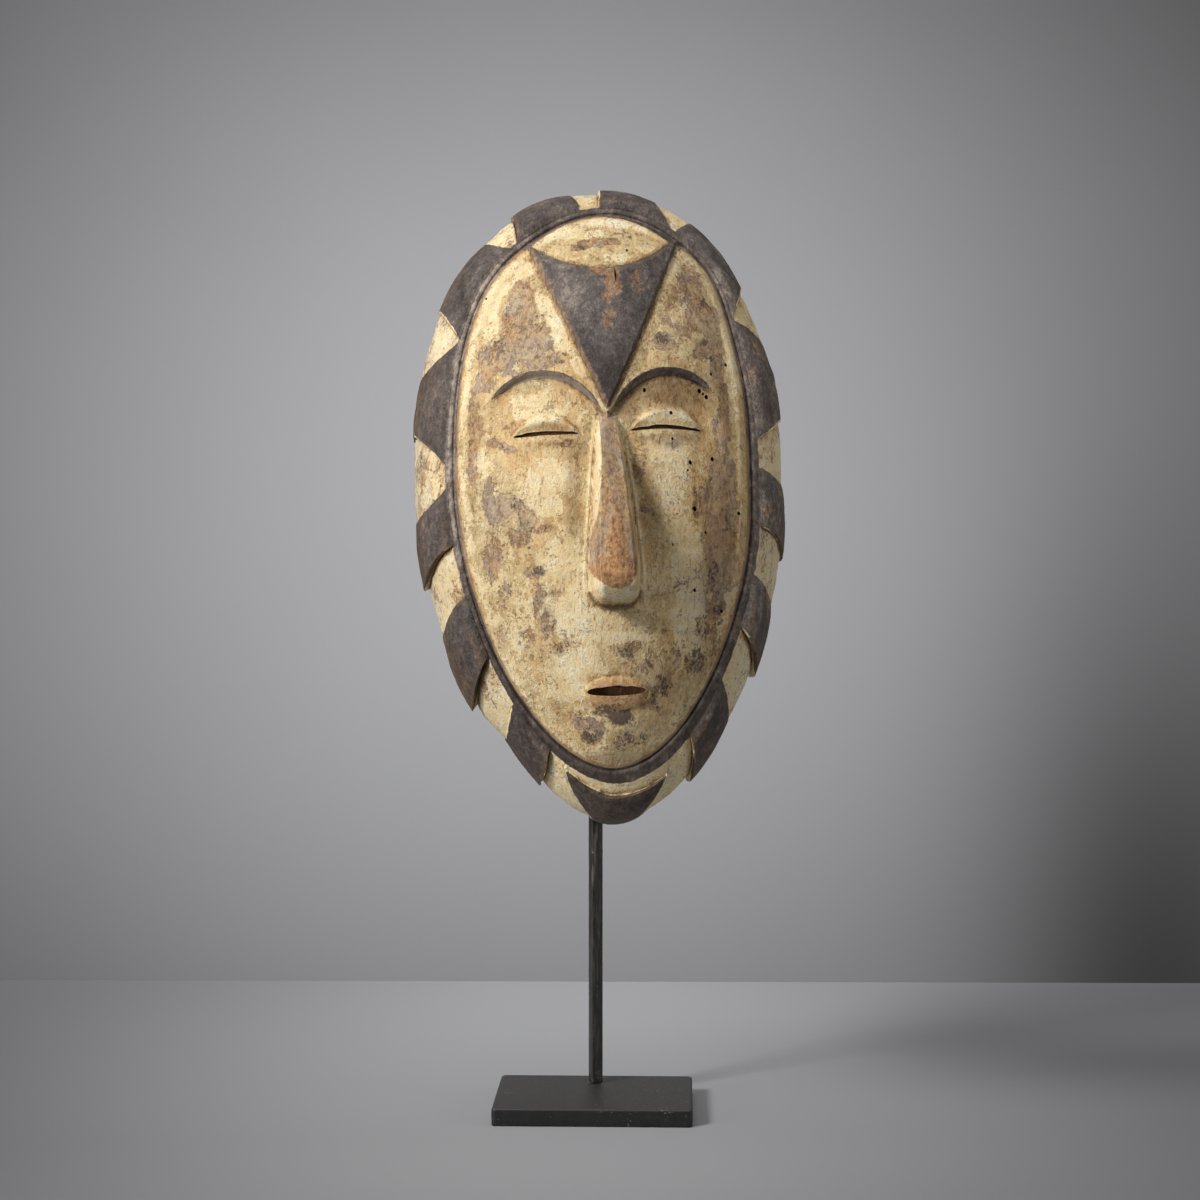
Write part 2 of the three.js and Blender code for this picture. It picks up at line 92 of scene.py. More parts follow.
# Rows of clock angle, spread in degrees and millimetres outwards
unevenness = [(20, 10, 2.3), (90, 22, -2), (198, 10, -5.5), (222, 12, 0.8), (340, 11, -1.5)]
panelUnevenness = [(348, 14, -6), (10, 8, -1.2), (30, 9, 3.2), (90, 32, -2.6), (150, 24, -1.7),
                   (193, 22, -1.9)]
crownDepth = 84.0
panelEdge = {"depth": 55, "dropAtTop": 17, "dropAtChin": 8}
sideWall = {"depth": 20, "dropAtTop": 8, "dropAtChin": 4}
domePower, borderPower = 2.4, 1.7
paintOverlap = 0.6  # how far the ring's paint reaches onto the panel
bead = {"inside": 4.5, "half": 4.0, "height": 1.15, "chinFade": 52}
ring = {"width": 4.2, "unevenness": [(170, 27, 3.4), (115, 45, 1.2)]}
hollow = {"rim": 14, "depth": 70, "power": 2.8, "roundness": 0.56}
brow = {  # the line falls from its apex by reach, drop and power, inwards and outwards
    "apexX": 33.2, "apexZ": 51.4, "bevel": 3.4, "inner": (29.5, 17, 2.3), "outer": (23, 11, 2),
}
socket = {"depth": 4.2, "fadeDown": 62, "fadeFrom": 46, "fadeTo": 61}
eyes = [
    {"x": -30.2, "z": 20.0, "half": 16.0, "arch": 0.7, "lid": 6.0},
    {"x": 28.8, "z": 21.7, "half": 18.0, "arch": 1.5, "lid": 7.4},
]
lidProfile = ([-0.25, 0, 0.9, 1, 1.1, 1.4, 1.8], [0, 0.8, 2.7, 2.9, 2.4, 1.2, 0])  # heights up a lid
nose = {
    "rootZ": 30, "baseZ": -65, "height": 25, "rootHeight": 3, "underside": 11, "tipX": 1.0,
    "widenBy": 0.8, "riseBy": 0.86,  # shares of the way down at which it is widest and highest
    "tipWidth": 0.4,  # what is left of its width at the underside
    "footZ": -58,  # where the paint along its sides ends
}
noseBase, noseRidge = (4.4, 13.6), (2.6, 7.8)  # half widths at the root and at the tip
mouth = {"x": 1.2, "z": -106.9, "half": 17.2, "lips": 8.2, "height": 2.8}
mouthSlit = {"x": 0.8, "z": -106.1, "half": 14.2, "height": 4.7, "depth": 7, "arch": 0}
eyeSlit = {"height": 1.9, "depth": 5}
triangle = {"tipZ": 30, "topZ": 117, "topHalf": 37.4, "leanRight": 3.2, "height": 2.4, "bevel": 1.8,
            "sidePower": 0.94, "sideSlant": 0.93}
keel = {"x": 1, "half": 26, "height": 1.1, "top": (-112, -122), "foot": (-142, -134)}
lens = {"x": 2.2, "bottomZ": 105.2, "topZ": 135.0, "half": 35.0, "sag": 14.9}

# The 13 pale fields, clockwise from the top: where each starts and ends at the ring and at the
# outline, how its two edges bend on the way out, and how far the dark field after it stands proud
# at its start and end.
paleFields = [
    ((-2.9, 1.1), (-4.6, 1.8), (2.5, 0.85), (2.2, 1)),
    ((17.4, 17.9), (12.9, 21.2), (0.6, 1), (0.8, 2)),
    ((40.2, 41.1), (37, 51.5), (0.7, 1.3), (0.4, 1.4)),
    ((77.4, 87.6), (71.4, 93.1), (1, 1.3), (0.5, 1.8)),
    ((108.5, 124.4), (114.5, 127.6), (3.5, 2), (0.5, 3.6)),
    ((139, 151.4), (142.8, 153.2), (3, 1), (0.5, 3.2)),
    ((163.3, 169.3), (165.2, 175.3), (2.5, 2), (1.4, 1.4)),
    ((189.7, 193.2), (183.6, 193.3), (2, 1), (3.2, 0.6)),
    ((204.1, 215), (202.4, 211.3), (1, 1.7), (4, 0.6)),
    ((231.7, 247.7), (228, 241.3), (2.5, 2.5), (3.2, 0.6)),
    ((268.6, 275.9), (260.2, 286.1), (0.7, 0.85), (1.2, 0.5)),
    ((315.4, 316), (302.2, 319), (1, 0.7), (1.4, 0.6)),
    ((341.2, 341.9), (336, 343.8), (0.6, 0.7), (2.2, 0.8)),
]
chinField = {"after": 6, "start": 0.33, "drop": 0.2}  # the lowest dark field starts part way out
darkBulge = 0.7

carving = {
    # mesh cells, and how far the middle of the mesh spreads as a square grid
    "acrossCells": 170, "downCells": 310, "panelSpread": 0.76,
    "hollowAcross": 64, "hollowDown": 112, "hollowSpread": 0.7, "hollowBend": 0.8,
    "inset": 0.14,  # keeps the fine surface just inside the solid's
    "stepLean": 0.12,  # degrees to each side of a field's edge
    "toolMarks": 0.3, "toolMarkSize": 11.0,
    "flakeDepth": 0.2,
    "notch": 0.9, "notchSpread": 1.3,  # the cut along the foot of a proud field
    "meanRadius": 110,  # of the border, for spacing the cuts
    "gouge": 1.3, "gougeSize": 13.0,
    "wormHoleRadius": 0.9, "wormHoleDepth": 4.0, "wormHoleSides": 9, "wormHoleTall": 1.25,
    "cutClearance": 30, "holeClearance": 8,  # how far the cutting prisms reach out in front
    # mesh rows: width and sinking on the ring, share of the way out on the border, share of the
    # depth down the side wall
    "ringRows": [(0.35, 0.6), (0.75, 0.85), (1.15, 0.6), (1.6, 0.25), (2.2, 0.05), (2.8, 0.02), (3.4, 0.1)],
    "outParts": [0, 0.035, 0.08, 0.14, 0.21, 0.285, 0.325, 0.335, 0.4, 0.48, 0.56, 0.64, 0.72, 0.8,
                 0.87, 0.93, 0.975, 1],
    "wallLevels": [0.8, 0.58, 0.36, 0.16, 0.05],
    "seam": 30,  # degrees before the top at which the back rim's two loops are joined
}


def clockOf(x, z):
    return np.degrees(np.arctan2(x, z)) % 360


def clockGap(a, b):
    return (a - b + 540) % 360 - 180


def ovalRadius(oval, clock):
    across, up = np.abs(np.sin(np.radians(clock))), np.cos(np.radians(clock))
    reach = np.where(up > 0, oval["top"], oval["bottom"])
    power = np.where(up > 0, oval["powerTop"], oval["powerBottom"])
    return ((across / oval["half"]) ** power + (np.abs(up) / reach) ** power) ** (-1 / power)


def bumpsAt(bumps, clock):
    return sum(out * np.exp(-(clockGap(clock, middle) / spread) ** 2) for middle, spread, out in bumps)


def outlineRadius(clock):
    return ovalRadius(outline, clock) + bumpsAt(unevenness, clock)


def panelRadius(clock):
    return ovalRadius(panel, clock) + bumpsAt(panelUnevenness, clock)


def panelEdgeDepth(clock):
    up = np.cos(np.radians(clock))
    atTop = panelEdge["dropAtTop"] * np.clip(up, 0, 1) ** 2.5
    return panelEdge["depth"] - atTop - panelEdge["dropAtChin"] * np.clip(-up, 0, 1) ** 3


def sideWallDepth(clock):
    up = np.cos(np.radians(clock))
    return sideWall["depth"] - np.where(up > 0, sideWall["dropAtTop"], sideWall["dropAtChin"]) * up * up


def domeDepth(x, z):
    clock, radius = clockOf(x, z), np.hypot(x, z)
    edgeRadius, edge = panelRadius(clock), panelEdgeDepth(clock)
    dome = edge + (crownDepth - edge) * (1 - np.clip(radius / edgeRadius, 0, 1) ** domePower)
    off = np.clip((edgeRadius - radius - bead["inside"]) / bead["half"], -1, 1)
    height = bead["height"] * (1 - 0.85 * np.exp(-(clockGap(clock, 180) / bead["chinFade"]) ** 4))
    return dome + height * np.cos(off * np.pi / 2) ** 2


def browLine(x):
    off = np.abs(x) - brow["apexX"]
    fall = [drop * (np.abs(off) / reach) ** power for reach, drop, power in (brow["inner"], brow["outer"])]
    return brow["apexZ"] - np.where(off < 0, fall[0], fall[1])


def socketDepth(x, z):
    below = browLine(x) - z
    down = 0.5 + 0.5 * np.cos(np.pi * np.clip(below / socket["fadeDown"], 0, 1))
    outwards = 1 - ramp(socket["fadeFrom"], socket["fadeTo"], np.abs(x))
    return socket["depth"] * ramp(-0.4, brow["bevel"], below) * down * outwards


def triangleAt(z):
    # the triangle's middle and half width at a height
    share = np.clip((z - triangle["tipZ"]) / (triangle["topZ"] - triangle["tipZ"]), 0.004, None)
    return triangle["leanRight"] * share, triangle["topHalf"] * share ** triangle["sidePower"]


def triangleInside(x, z):
    # millimetres inside the triangle's edge, below zero outside it
    middle, half = triangleAt(z)
    sides = (half - np.abs(x - middle)) * triangle["sideSlant"]
    return np.minimum(np.minimum(sides, -lensInside(x, z, upper=False)), z - triangle["tipZ"] + 1)


def lensInside(x, z, upper=True):
    bend = lens["sag"] * ((x - lens["x"]) / lens["half"]) ** 2
    below = (z - lens["bottomZ"] - bend) * 0.9
    return np.minimum(below, (lens["topZ"] - bend - z) * 0.9) if upper else below


def browInside(x, z):
    # the dark band along the brow's bevel, thinner towards its ends
    below = browLine(x) - z
    half = 2.15 * (1 - ramp(46, 60, np.abs(x))) * ramp(1, 9, np.abs(x)) - 0.15
    return half - np.abs(below - 1.6)


def noseAt(z):
    down = np.clip((nose["rootZ"] - z) / (nose["rootZ"] - nose["baseZ"]), 0, 1)
    widen = np.clip(down / nose["widenBy"], 0, 1) ** 0.7
    under = np.sqrt(1 - np.clip((nose["baseZ"] + nose["underside"] - z) / nose["underside"], 0, 1) ** 2)
    rounding = nose["tipWidth"] + (1 - nose["tipWidth"]) * under ** 0.9
    base = (noseBase[0] + (noseBase[1] - noseBase[0]) * widen) * rounding
    ridge = (noseRidge[0] + (noseRidge[1] - noseRidge[0]) * widen) * rounding
    up = np.clip(down / nose["riseBy"], 0, 1) ** 0.82
    rise = nose["rootHeight"] + (nose["height"] - nose["rootHeight"]) * up
    return nose["tipX"] * down, base, ridge, rise * under


def noseHeight(x, z):
    middle, base, ridge, height = noseAt(z)
    off = np.abs(x - middle)
    rounded = 0.9 * ramp(0, 1, off / ridge) * (off < base) * (height > 3)
    body = height * (1 - ramp(ridge, base, off)) - rounded
    fillet = 0.8 * np.exp(-((off - base - 0.6) / 0.8) ** 2) * ramp(-60, -50, z) * (1 - ramp(8, 26, z))
    return np.maximum(body, 0) * ramp(nose["rootZ"] + 2, nose["rootZ"] - 7, z) + fillet


def slitLine(eye, x):
    return eye["z"] - eye["arch"] * ((x - eye["x"]) / eye["half"]) ** 2


def lidHeight(x, z):
    total = np.zeros_like(x)
    for eye in eyes:
        across = np.clip((x - eye["x"]) / (eye["half"] + 0.8), -1, 1)
        arch = np.maximum(1 - across ** 2, 0.02)
        up = (z - slitLine(eye, x)) / (eye["lid"] * arch)
        height = np.interp(up, *lidProfile)
        under = 0.7 * np.exp(-((z - slitLine(eye, x) + 3.2) / 1.6) ** 2) * (1 - np.abs(across) ** 3)
        onLid = np.abs(across) < 1
        total = total + height * np.clip(arch * 2.5, 0, 1) * onLid + under * onLid
    return total


def lipsRound(x, z):
    across = np.clip((x - mouth["x"]) / mouth["half"], -1, 1)
    level = (z - mouth["z"]) / (mouth["lips"] * np.maximum(np.sqrt(1 - across ** 2), 0.1))
    return np.sqrt(np.clip(1 - level ** 2, 0, 1)) * (1 - across ** 4)


def chinKeel(x, z):
    across = 1 - ramp(0, keel["half"], np.abs(x - keel["x"]))
    return keel["height"] * across * ramp(*keel["top"], z) * ramp(*keel["foot"], z)


def frontDepth(x, z):
    relief = triangle["height"] * ramp(0, triangle["bevel"], triangleInside(x, z))
    relief = relief + 0.5 * ramp(-0.2, 0.7, lensInside(x, z)) + chinKeel(x, z)
    raised = np.maximum(np.maximum(noseHeight(x, z), lidHeight(x, z)), mouth["height"] * lipsRound(x, z))
    return domeDepth(x, z) + relief - socketDepth(x, z) + raised


def innerRadius(clock):
    # the hollow's edge
    return outlineRadius(clock) - hollow["rim"]


def hollowDepth(x, z):
    share = np.clip(np.hypot(x, z) / innerRadius(clockOf(x, z)), 0, 1)
    return hollow["depth"] * np.clip(1 - share ** hollow["power"], 0, 1) ** hollow["roundness"]


# Local points are rows of x, depth, z in millimetres

turning = (Matrix.Rotation(math.radians(pose["turn"]), 4, "Z")
           @ Matrix.Rotation(math.radians(-pose["leanBack"]), 4, "X")
           @ Matrix.Rotation(math.radians(-pose["tilt"]), 4, "Y"))
turn = np.array(turning.to_3x3())
place = np.array(pose["place"])


def toWorld(local):
    local = np.asarray(local, float)
    return local * [1, -1, 1] @ turn.T * millimetre + place * millimetre


def toLocal(world):
    return (np.asarray(world, float) / millimetre - place) @ turn * [1, -1, 1]


# The border between the ring and the outline

def borderPoints(clock, share, lift):
    inner, outer = panelRadius(clock), outlineRadius(clock)
    wall = sideWallDepth(clock)
    depth = wall + (panelEdgeDepth(clock) - wall) * np.sqrt(np.clip(1 - share ** borderPower, 0, 1))
    facing = share * np.pi / 2
    radius = inner + (outer - inner) * share + lift * np.sin(facing)
    angle = np.radians(clock)
    return np.stack([radius * np.sin(angle), depth + lift * np.cos(facing), radius * np.cos(angle)], 1)


def ringWidth(clock):
    return ring["width"] + bumpsAt(ring["unevenness"], clock)


def shareAt(clock, width):
    return width / (outlineRadius(clock) - panelRadius(clock))


def borderFields():
    # each field has two edges of (clock at the ring, clock at the outline, bend)
    fields = []
    for index, (atRing, atRim, bend, lift) in enumerate(paleFields):
        following = paleFields[(index + 1) % len(paleFields)]
        turnOn = 0 if index + 1 < len(paleFields) else 360
        start, end = [(atRing[k], atRim[k], bend[k]) for k in (0, 1)]
        after = (following[0][0] + turnOn, following[1][0] + turnOn, following[2][0])
        before = paleFields[index - 1][3][1]
        fields.append({"edges": (start, end), "lift": (0, 0), "steps": (before, lift[0]), "dark": False,
                       "start": (0, 0)})
        onChin = (chinField["start"], chinField["start"] - chinField["drop"])
        fields.append({"edges": (end, after), "lift": lift, "steps": lift, "dark": True,
                       "start": onChin if index == chinField["after"] else (0, 0)})
    return fields


def edgeClock(edge, part):
    return edge[0] + (edge[1] - edge[0]) * np.clip(part, 0, 1) ** edge[2]


def borderSpokes(count):
    # mesh lines from the ring to the outline, along the fields' edges, two close together at each.
    # A row holds the field's two edges, the share of the way between them, the lift and the start.
    fields = borderFields()
    reach = [(f["edges"][1][1] - f["edges"][0][1]) * float(outlineRadius(np.array(f["edges"][0][1])))
             for f in fields]
    cells = [2] * len(fields)
    for _ in range(count - 3 * len(fields)):
        widest = max(range(len(fields)), key=lambda k: reach[k] / cells[k])
        cells[widest] += 1
    rows = []
    for field, n in zip(fields, cells):
        for i in range(n + 1):
            along = i / n
            if field["dark"]:
                lift = field["lift"][0] * (1 - along) + field["lift"][1] * along
                lift += darkBulge * math.sin(math.pi * along)
            else:
                span = math.radians(field["edges"][1][1] - field["edges"][0][1]) * carving["meanRadius"]
                span = span / carving["notchSpread"]
                near = [math.exp(-along * span), math.exp(-(1 - along) * span)]
                cut = sum(min(step / 3, 1) * fall for step, fall in zip(field["steps"], near))
                lift = -carving["notch"] * cut
            start = field["start"][0] + (field["start"][1] - field["start"][0]) * along ** 4
            rows.append(field["edges"][0] + field["edges"][1] + (along, lift, start))
    return np.array(rows)


def spokeClock(spokes, part):
    start, to = edgeClock(spokes[:, 0:3].T, part), edgeClock(spokes[:, 3:6].T, part)
    lean = carving["stepLean"]
    return start + lean + (to - start - 2 * lean) * spokes[:, 6]


# Closed meshes from bent grids

def discGrid(columns, rows, edgeClocks, radiusAt, flatShare, bend):
    # a grid whose outermost lines follow the oval and whose middle stays nearly square
    i, j = np.meshgrid(np.arange(columns + 1), np.arange(rows + 1), indexing="ij")
    u, v = i * 2 / columns - 1, j * 2 / rows - 1
    level = np.maximum(np.abs(u), np.abs(v))
    safe = np.where(level == 0, 1, level)
    pu, pv = u / safe, v / safe
    halfAcross, halfDown = columns / 2, rows / 2
    rimCount = 2 * (columns + rows)
    along = np.where(
        (np.abs(pv) >= 1 - 1e-9) & (pv > 0), pu * halfAcross,
        np.where((np.abs(pu) >= 1 - 1e-9) & (pu > 0), halfAcross + (1 - pv) * halfDown,
                 np.where(pv <= -1 + 1e-9, halfAcross + rows + (1 - pu) * halfAcross,
                          3 * halfAcross + rows + (1 + pv) * halfDown))) % rimCount
    wrapped = np.concatenate([edgeClocks, [edgeClocks[0] + 360]])
    clock = np.interp(along, np.arange(rimCount + 1), wrapped)
    reach = radiusAt(clock)
    share = level ** bend
    angle = np.radians(clock)
    across, up = radiusAt(np.array(90.0)), radiusAt(np.array(0.0))
    discX, discZ = share * reach * np.sin(angle), share * reach * np.cos(angle)
    flatX, flatZ = u * across * flatShare, v * up * flatShare
    blend = level ** 2
    x = flatX + (discX - flatX) * blend
    z = flatZ + (discZ - flatZ) * blend
    ids = np.arange((columns + 1) * (rows + 1)).reshape(columns + 1, rows + 1)
    faces = np.stack([ids[:-1, :-1], ids[1:, :-1], ids[1:, 1:], ids[:-1, 1:]], -1).reshape(-1, 4)
    edge = level >= 1 - 1e-9
    loop = ids[edge][np.argsort(along[edge])]
    return x.ravel(), z.ravel(), faces, loop


class Shell:
    # points and faces of a closed surface, grown ring by ring

    def __init__(self):
        self.points, self.faces, self.count = [], [], 0

    def add(self, points):
        ids = np.arange(self.count, self.count + len(points))
        self.points.append(np.asarray(points, float))
        self.count += len(points)
        return ids

    def grid(self, points, faces, loop):
        ids = self.add(points)
        self.faces += ids[faces].tolist()
        return ids[loop]

    def ring(self, loop, points):
        following = self.add(points)
        quads = np.stack([loop, np.roll(loop, -1), np.roll(following, -1), following], 1)
        self.faces += quads.tolist()
        return following

    def zip(self, loopA, clocksA, loopB, clocksB):
        # joins two loops of different counts, both in clock order
        a, b = 0, 0
        while a < len(loopA) or b < len(loopB):
            nextA = clocksA[(a + 1) % len(loopA)] + (360 if a + 1 >= len(loopA) else 0)
            nextB = clocksB[(b + 1) % len(loopB)] + (360 if b + 1 >= len(loopB) else 0)
            if b >= len(loopB) or (a < len(loopA) and nextA <= nextB):
                self.faces.append([loopA[a], loopA[(a + 1) % len(loopA)], loopB[b % len(loopB)]])
                a += 1
            else:
                self.faces.append([loopB[(b + 1) % len(loopB)], loopB[b], loopA[a % len(loopA)]])
                b += 1


def meshPiece(name, points, faces, smoothBelow=None):
    mesh = bpy.data.meshes.new(name)
    mesh.from_pydata(points.tolist(), [], faces)
    mesh.validate()
    mesh.update()
    piece = bpy.data.objects.new(name, mesh)
    bpy.context.scene.collection.objects.link(piece)
    if smoothBelow:
        mesh.shade_smooth()
        mesh.set_sharp_from_angle(angle=math.radians(smoothBelow))
    return piece


def faceOutwards(piece):
    work = bmesh.new()
    work.from_mesh(piece.data)
    bmesh.ops.recalc_face_normals(work, faces=work.faces)
    work.to_mesh(piece.data)
    work.free()


# Patches of the paint's state, as soft ovals on the panel: x, z, half width, half height, lean of the
# top to the right in degrees, strength

patchEdge = {"reach": 3.2, "size": 12, "fade": (0.35, 1.5)}  # its wandering, and the soft part
barePatches = [  # paint gone down to the brown wood
    (-40, 84, 9, 14, 10, 0.85), (-38, 67, 13, 10, 0, 0.8), (-50, 60, 8, 9, 0, 0.65),
    (-57, 60, 6, 11, -5, 0.7), (-30, 56, 12, 5, 0, 0.55), (-58, 48, 6, 8, 0, 0.5),
    (-46, 51, 9, 3, 20, 0.45), (-38, 98, 5, 5, 0, 0.45), (52, 76, 8, 10, -15, 0.7),
    (50, 62, 10, 5, -25, 0.9), (57, 54, 4, 9, -5, 0.85), (42, 74, 8, 8, 0, 0.5), (36, 85, 6, 11, 15, 0.45),
    (46, 95, 8, 14, -20, 0.5), (30, 65, 6, 5, 0, 0.8), (-64, 22, 4, 28, 0, 0.5), (-51, 15, 9, 2.5, 25, 0.6),
    (-51, -16, 9, 7, -15, 0.85), (-40, -21, 4, 7, 0, 0.8), (-58, -12, 4, 10, 0, 0.45),
    (-44, -30, 7, 5, 0, 0.5), (-33, -27, 5, 2.5, 0, 0.6), (-37, -47, 5, 4, -20, 0.8),
    (-40, -38, 4, 6, 0, 0.45), (-36, -62, 3.5, 8, 0, 0.7), (-28, -58, 6, 2, -20, 0.6),
    (-57, -40, 5, 16, 0, 0.55), (-52, -60, 5, 11, 10, 0.5), (-31, -72, 5, 9, 10, 0.75),
    (-25, -83, 7, 3.5, -30, 0.6), (-41, -80, 6, 9, 15, 0.45), (-53, -76, 5, 11, 15, 0.4),
    (-28, -92, 7, 2, -10, 0.5), (-37, -88, 9, 3, 0, 0.4), (56, -8, 8, 20, 0, 0.8), (55, -38, 9, 22, 0, 1.0),
    (50, -60, 7, 16, 0, 0.85), (48, -82, 8, 12, -10, 0.6), (62, -20, 4, 32, 0, 0.6),
    (45, -16, 4, 10, 10, 0.5), (59, 16, 5, 18, 0, 0.55), (60, 36, 4, 12, 0, 0.55), (42, -92, 6, 7, 0, 0.75),
    (30, -88, 6, 11, 0, 0.45), (20, -22, 5, 11, 0, 0.3), (14, -4, 3.5, 9, 0, 0.2),
    (8, -85, 9, 4, -15, 0.65), (20, -78, 7, 5, 0, 0.35), (12, -94, 8, 4, 0, 0.45), (26, -101, 4, 9, 0, 0.6),
    (19, -115, 9, 3, 25, 0.6), (23, -107, 4, 7, 0, 0.6), (-12, -124, 9, 8, 0, 0.65),
    (2, -118, 8, 5, 0, 0.8), (3, -129, 7, 6, 0, 0.6), (-27, -112, 5, 3, 0, 0.4), (-18, -119, 6, 3, 0, 0.55),
    (2, 119.5, 12, 2.8, 5, 0.75), (-8, 117, 5, 2.5, 0, 0.6), (17, 124, 11, 2.5, 10, 0.35),
    (32, 12, 5, 3, 0, 0.5), (-22, 15, 7, 2, -10, 0.5), (-48, 30, 5, 6, 0, 0.35), (36, -64, 8, 3, -15, 0.4),
]
smearPatches = [  # dark remains, speckled where they are weaker
    (30, 66, 7, 5, 0, 0.62), (38, 62, 6, 3.5, 0, 0.55), (51, 65, 5, 2.5, -25, 0.6), (56, 57, 4, 6, 0, 0.6),
    (-37, -26, 6, 4, 0, 0.55), (-37, -47, 5, 4, -20, 0.58), (-27, -58, 7, 3, -20, 0.5),
    (-39, -33, 4, 5, 0, 0.5), (5, -88, 12, 4, -10, 0.56), (19, -91, 8, 6, 0, 0.56),
    (24, -104, 6, 9, 0, 0.6), (41, -91, 8, 10, 0, 0.62), (2, -118.5, 8, 5, 0, 0.8),
    (-4, -114.5, 10, 4, -10, 0.6), (-12, -128, 6, 5, 0, 0.7), (9, -130, 9, 6, 0, 0.58),
    (42, -12, 4, 9, 0, 0.5), (47, -5, 4, 4, 0, 0.5), (22, -26, 3.5, 6, 0, 0.35), (43, 118, 3, 5, 0, 0.7),
    (-20, -117, 8, 4, 0, 0.56), (-51, 15, 10, 2.5, 25, 0.58), (-20, 58, 8, 3, 0, 0.5),
    (-46, 63, 8, 3, 0, 0.5), (51, -48, 6, 16, 0, 0.56), (52, -68, 6, 12, 0, 0.58),
    (-31, -73, 4, 8, 10, 0.52), (-24, -84, 8, 4, -30, 0.55), (20, -113, 9, 3, 25, 0.62),
    (-34, 47, 14, 1.5, 0, 0.4), (-12, 37, 9, 2, -30, 0.45), (60, 58, 3, 5, 0, 0.5),
    (58, -28, 5, 14, 0, 0.52), (33, 13, 2.5, 2.5, 0, 0.5), (-55, -58, 4, 10, 10, 0.46),
    (44, -78, 6, 10, 0, 0.55), (-30, 78, 6, 10, 20, 0.5), (-52, 70, 6, 8, 0, 0.45),
    (34, -56, 9, 7, 0, 0.46), (-46, -10, 8, 6, 0, 0.5), (14, 70, 4, 9, 25, 0.45), (52, 86, 7, 9, -20, 0.5),
    (-6, 118, 9, 3, 10, 0.55), (14, 121, 7, 3, 0, 0.52),
]
chalkPatches = [  # thick bright paint, and one patch of painted light along the panel's right edge
    (-54, 82, 4, 17, 15, 0.9), (-50, 97, 6, 8, 30, 0.8), (-40, 106, 9, 6, 0, 0.7), (-45, 86, 3, 4, 0, 0.7),
    (-26, 82, 3.5, 15, -25, 0.9), (-21, 69, 4, 8, -20, 0.8), (-13, 55, 4, 8, -20, 0.5),
    (38, 103, 4, 8, 20, 0.5), (38, 80, 4, 6, 0, 0.45), (47, 69, 4, 4, 0, 0.5), (42, 60, 7, 4, -20, 0.6),
    (-20, 127, 10, 5, 25, 0.9), (-10, 124, 12, 3, 0, 0.7), (10, 131, 10, 3, 0, 0.6),
    (10, 110, 9, 3, 10, 0.5), (24, 115, 8, 4, 25, 0.4), (-30, -4, 14, 10, 0, 0.6), (-60, 8, 5, 6, 0, 0.6),
    (-30, -17, 9, 5, 0, 0.7), (-26, -42, 9, 12, 0, 0.5), (-20, -70, 12, 10, 0, 0.55),
    (-2, -80, 20, 2.5, 0, 0.65), (-20, -92, 11, 8, 0, 0.85), (-17, -104, 6, 5, 0, 0.7),
    (-26, -104, 6, 5, 0, 0.5), (30, -8, 8, 14, 0, 0.5), (34, -30, 8, 8, 0, 0.6), (28, 8, 10, 8, 0, 0.4),
    (34, -75, 6, 8, 0, 0.45), (40, -62, 9, 14, 0, 0.55), (42, -84, 6, 8, 0, 0.5), (36, -45, 8, 14, 0, 0.5),
    (29, 27, 15, 2.8, 0, 0.8), (-36, 30, 20, 4, 0, 0.6), (-36, 38, 12, 4, 0, 0.5),
    # the last patch on this line, along the panel's right edge, is painted light on a slope turned from the
    # light
    (-16, 95, 9, 13, -15, 0.75), (50, -62, 4, 3, 0, 0.5), (4, -60, 7, 2, 0, 0.6), (64, 62, 3, 40, 0, 0.45),
]
ochrePatches = [  # orange-brown
    (-1, 103, 5, 4, 10, 0.95), (6, 101, 7, 4, 0, 1.0), (7, 94, 5, 7, 0, 1.0), (3, 88, 4, 5, 0, 0.75),
    (3, 76, 6, 9, 0, 0.6), (9, 66, 3, 9, 0, 0.5), (20, 97, 8, 10, 0, 0.62), (-2, 109, 24, 2.5, 0, 0.25),
    (-14, 100, 5, 6, 0, 0.45), (-58, 58, 5, 12, -5, 0.5), (-57, -42, 8, 24, 0, 0.45),
    (-58, 0, 5, 6, 0, 0.45), (-46, -88, 9, 18, 25, 0.4), (60, -85, 6, 24, -15, 0.5),
    (14, -124, 6, 8, 0, 0.35), (-6, -124, 6, 8, 0, 0.5), (66, 66, 3, 28, 8, 0.4), (40, 94, 9, 12, -15, 0.4),
    (52, 84, 8, 10, 0, 0.5), (2, 119, 9, 3, 0, 0.6), (-50, 50, 7, 4, 0, 0.4),
]
shadePatches = [  # a soft brown wash: dirty in places, and painted shade where shade falls under the brows, beside the nose, round the eyes and on the chin
    (0, 10, 3.5, 15, 0, 0.7), (3, -10, 3, 12, 0, 0.3), (33, 39, 26, 10, 0, 1.0), (44, 40, 16, 9, 0, 0.9),
    (13, 33, 6, 13, 20, 0.9), (55, 38, 9, 11, 0, 0.7), (-18, -6, 4.5, 30, 0, 0.65), (-15, 13, 6, 5, 0, 0.6),
    (17, -16, 7, 28, -8, 0.4), (31, 16, 20, 4, 0, 0.5), (-30, 23, 14, 2.6, 0, 0.6),
    (-32, 14, 13, 3, 0, 0.35), (16, -72, 12, 6, 0, 0.4), (26, -100, 11, 14, 0, 0.55),
    (50, -100, 8, 16, -20, 0.45), (0, -140, 18, 6, 0, 0.7), (38, -118, 9, 9, 0, 0.35),
    (45, 100, 12, 14, -20, 0.35), (34, 110, 6, 10, 25, 0.6), (-24, 100, 5, 14, -25, 0.35),
    (8, -40, 3, 18, 0, 0.4), (54, -50, 12, 50, 0, 0.25), (20, 60, 4, 16, 25, 0.45),
    (-30, -116, 7, 7, 0, 0.25), (20, -126, 14, 8, 0, 0.3), (-40, 44, 16, 2, 0, 0.3),
]


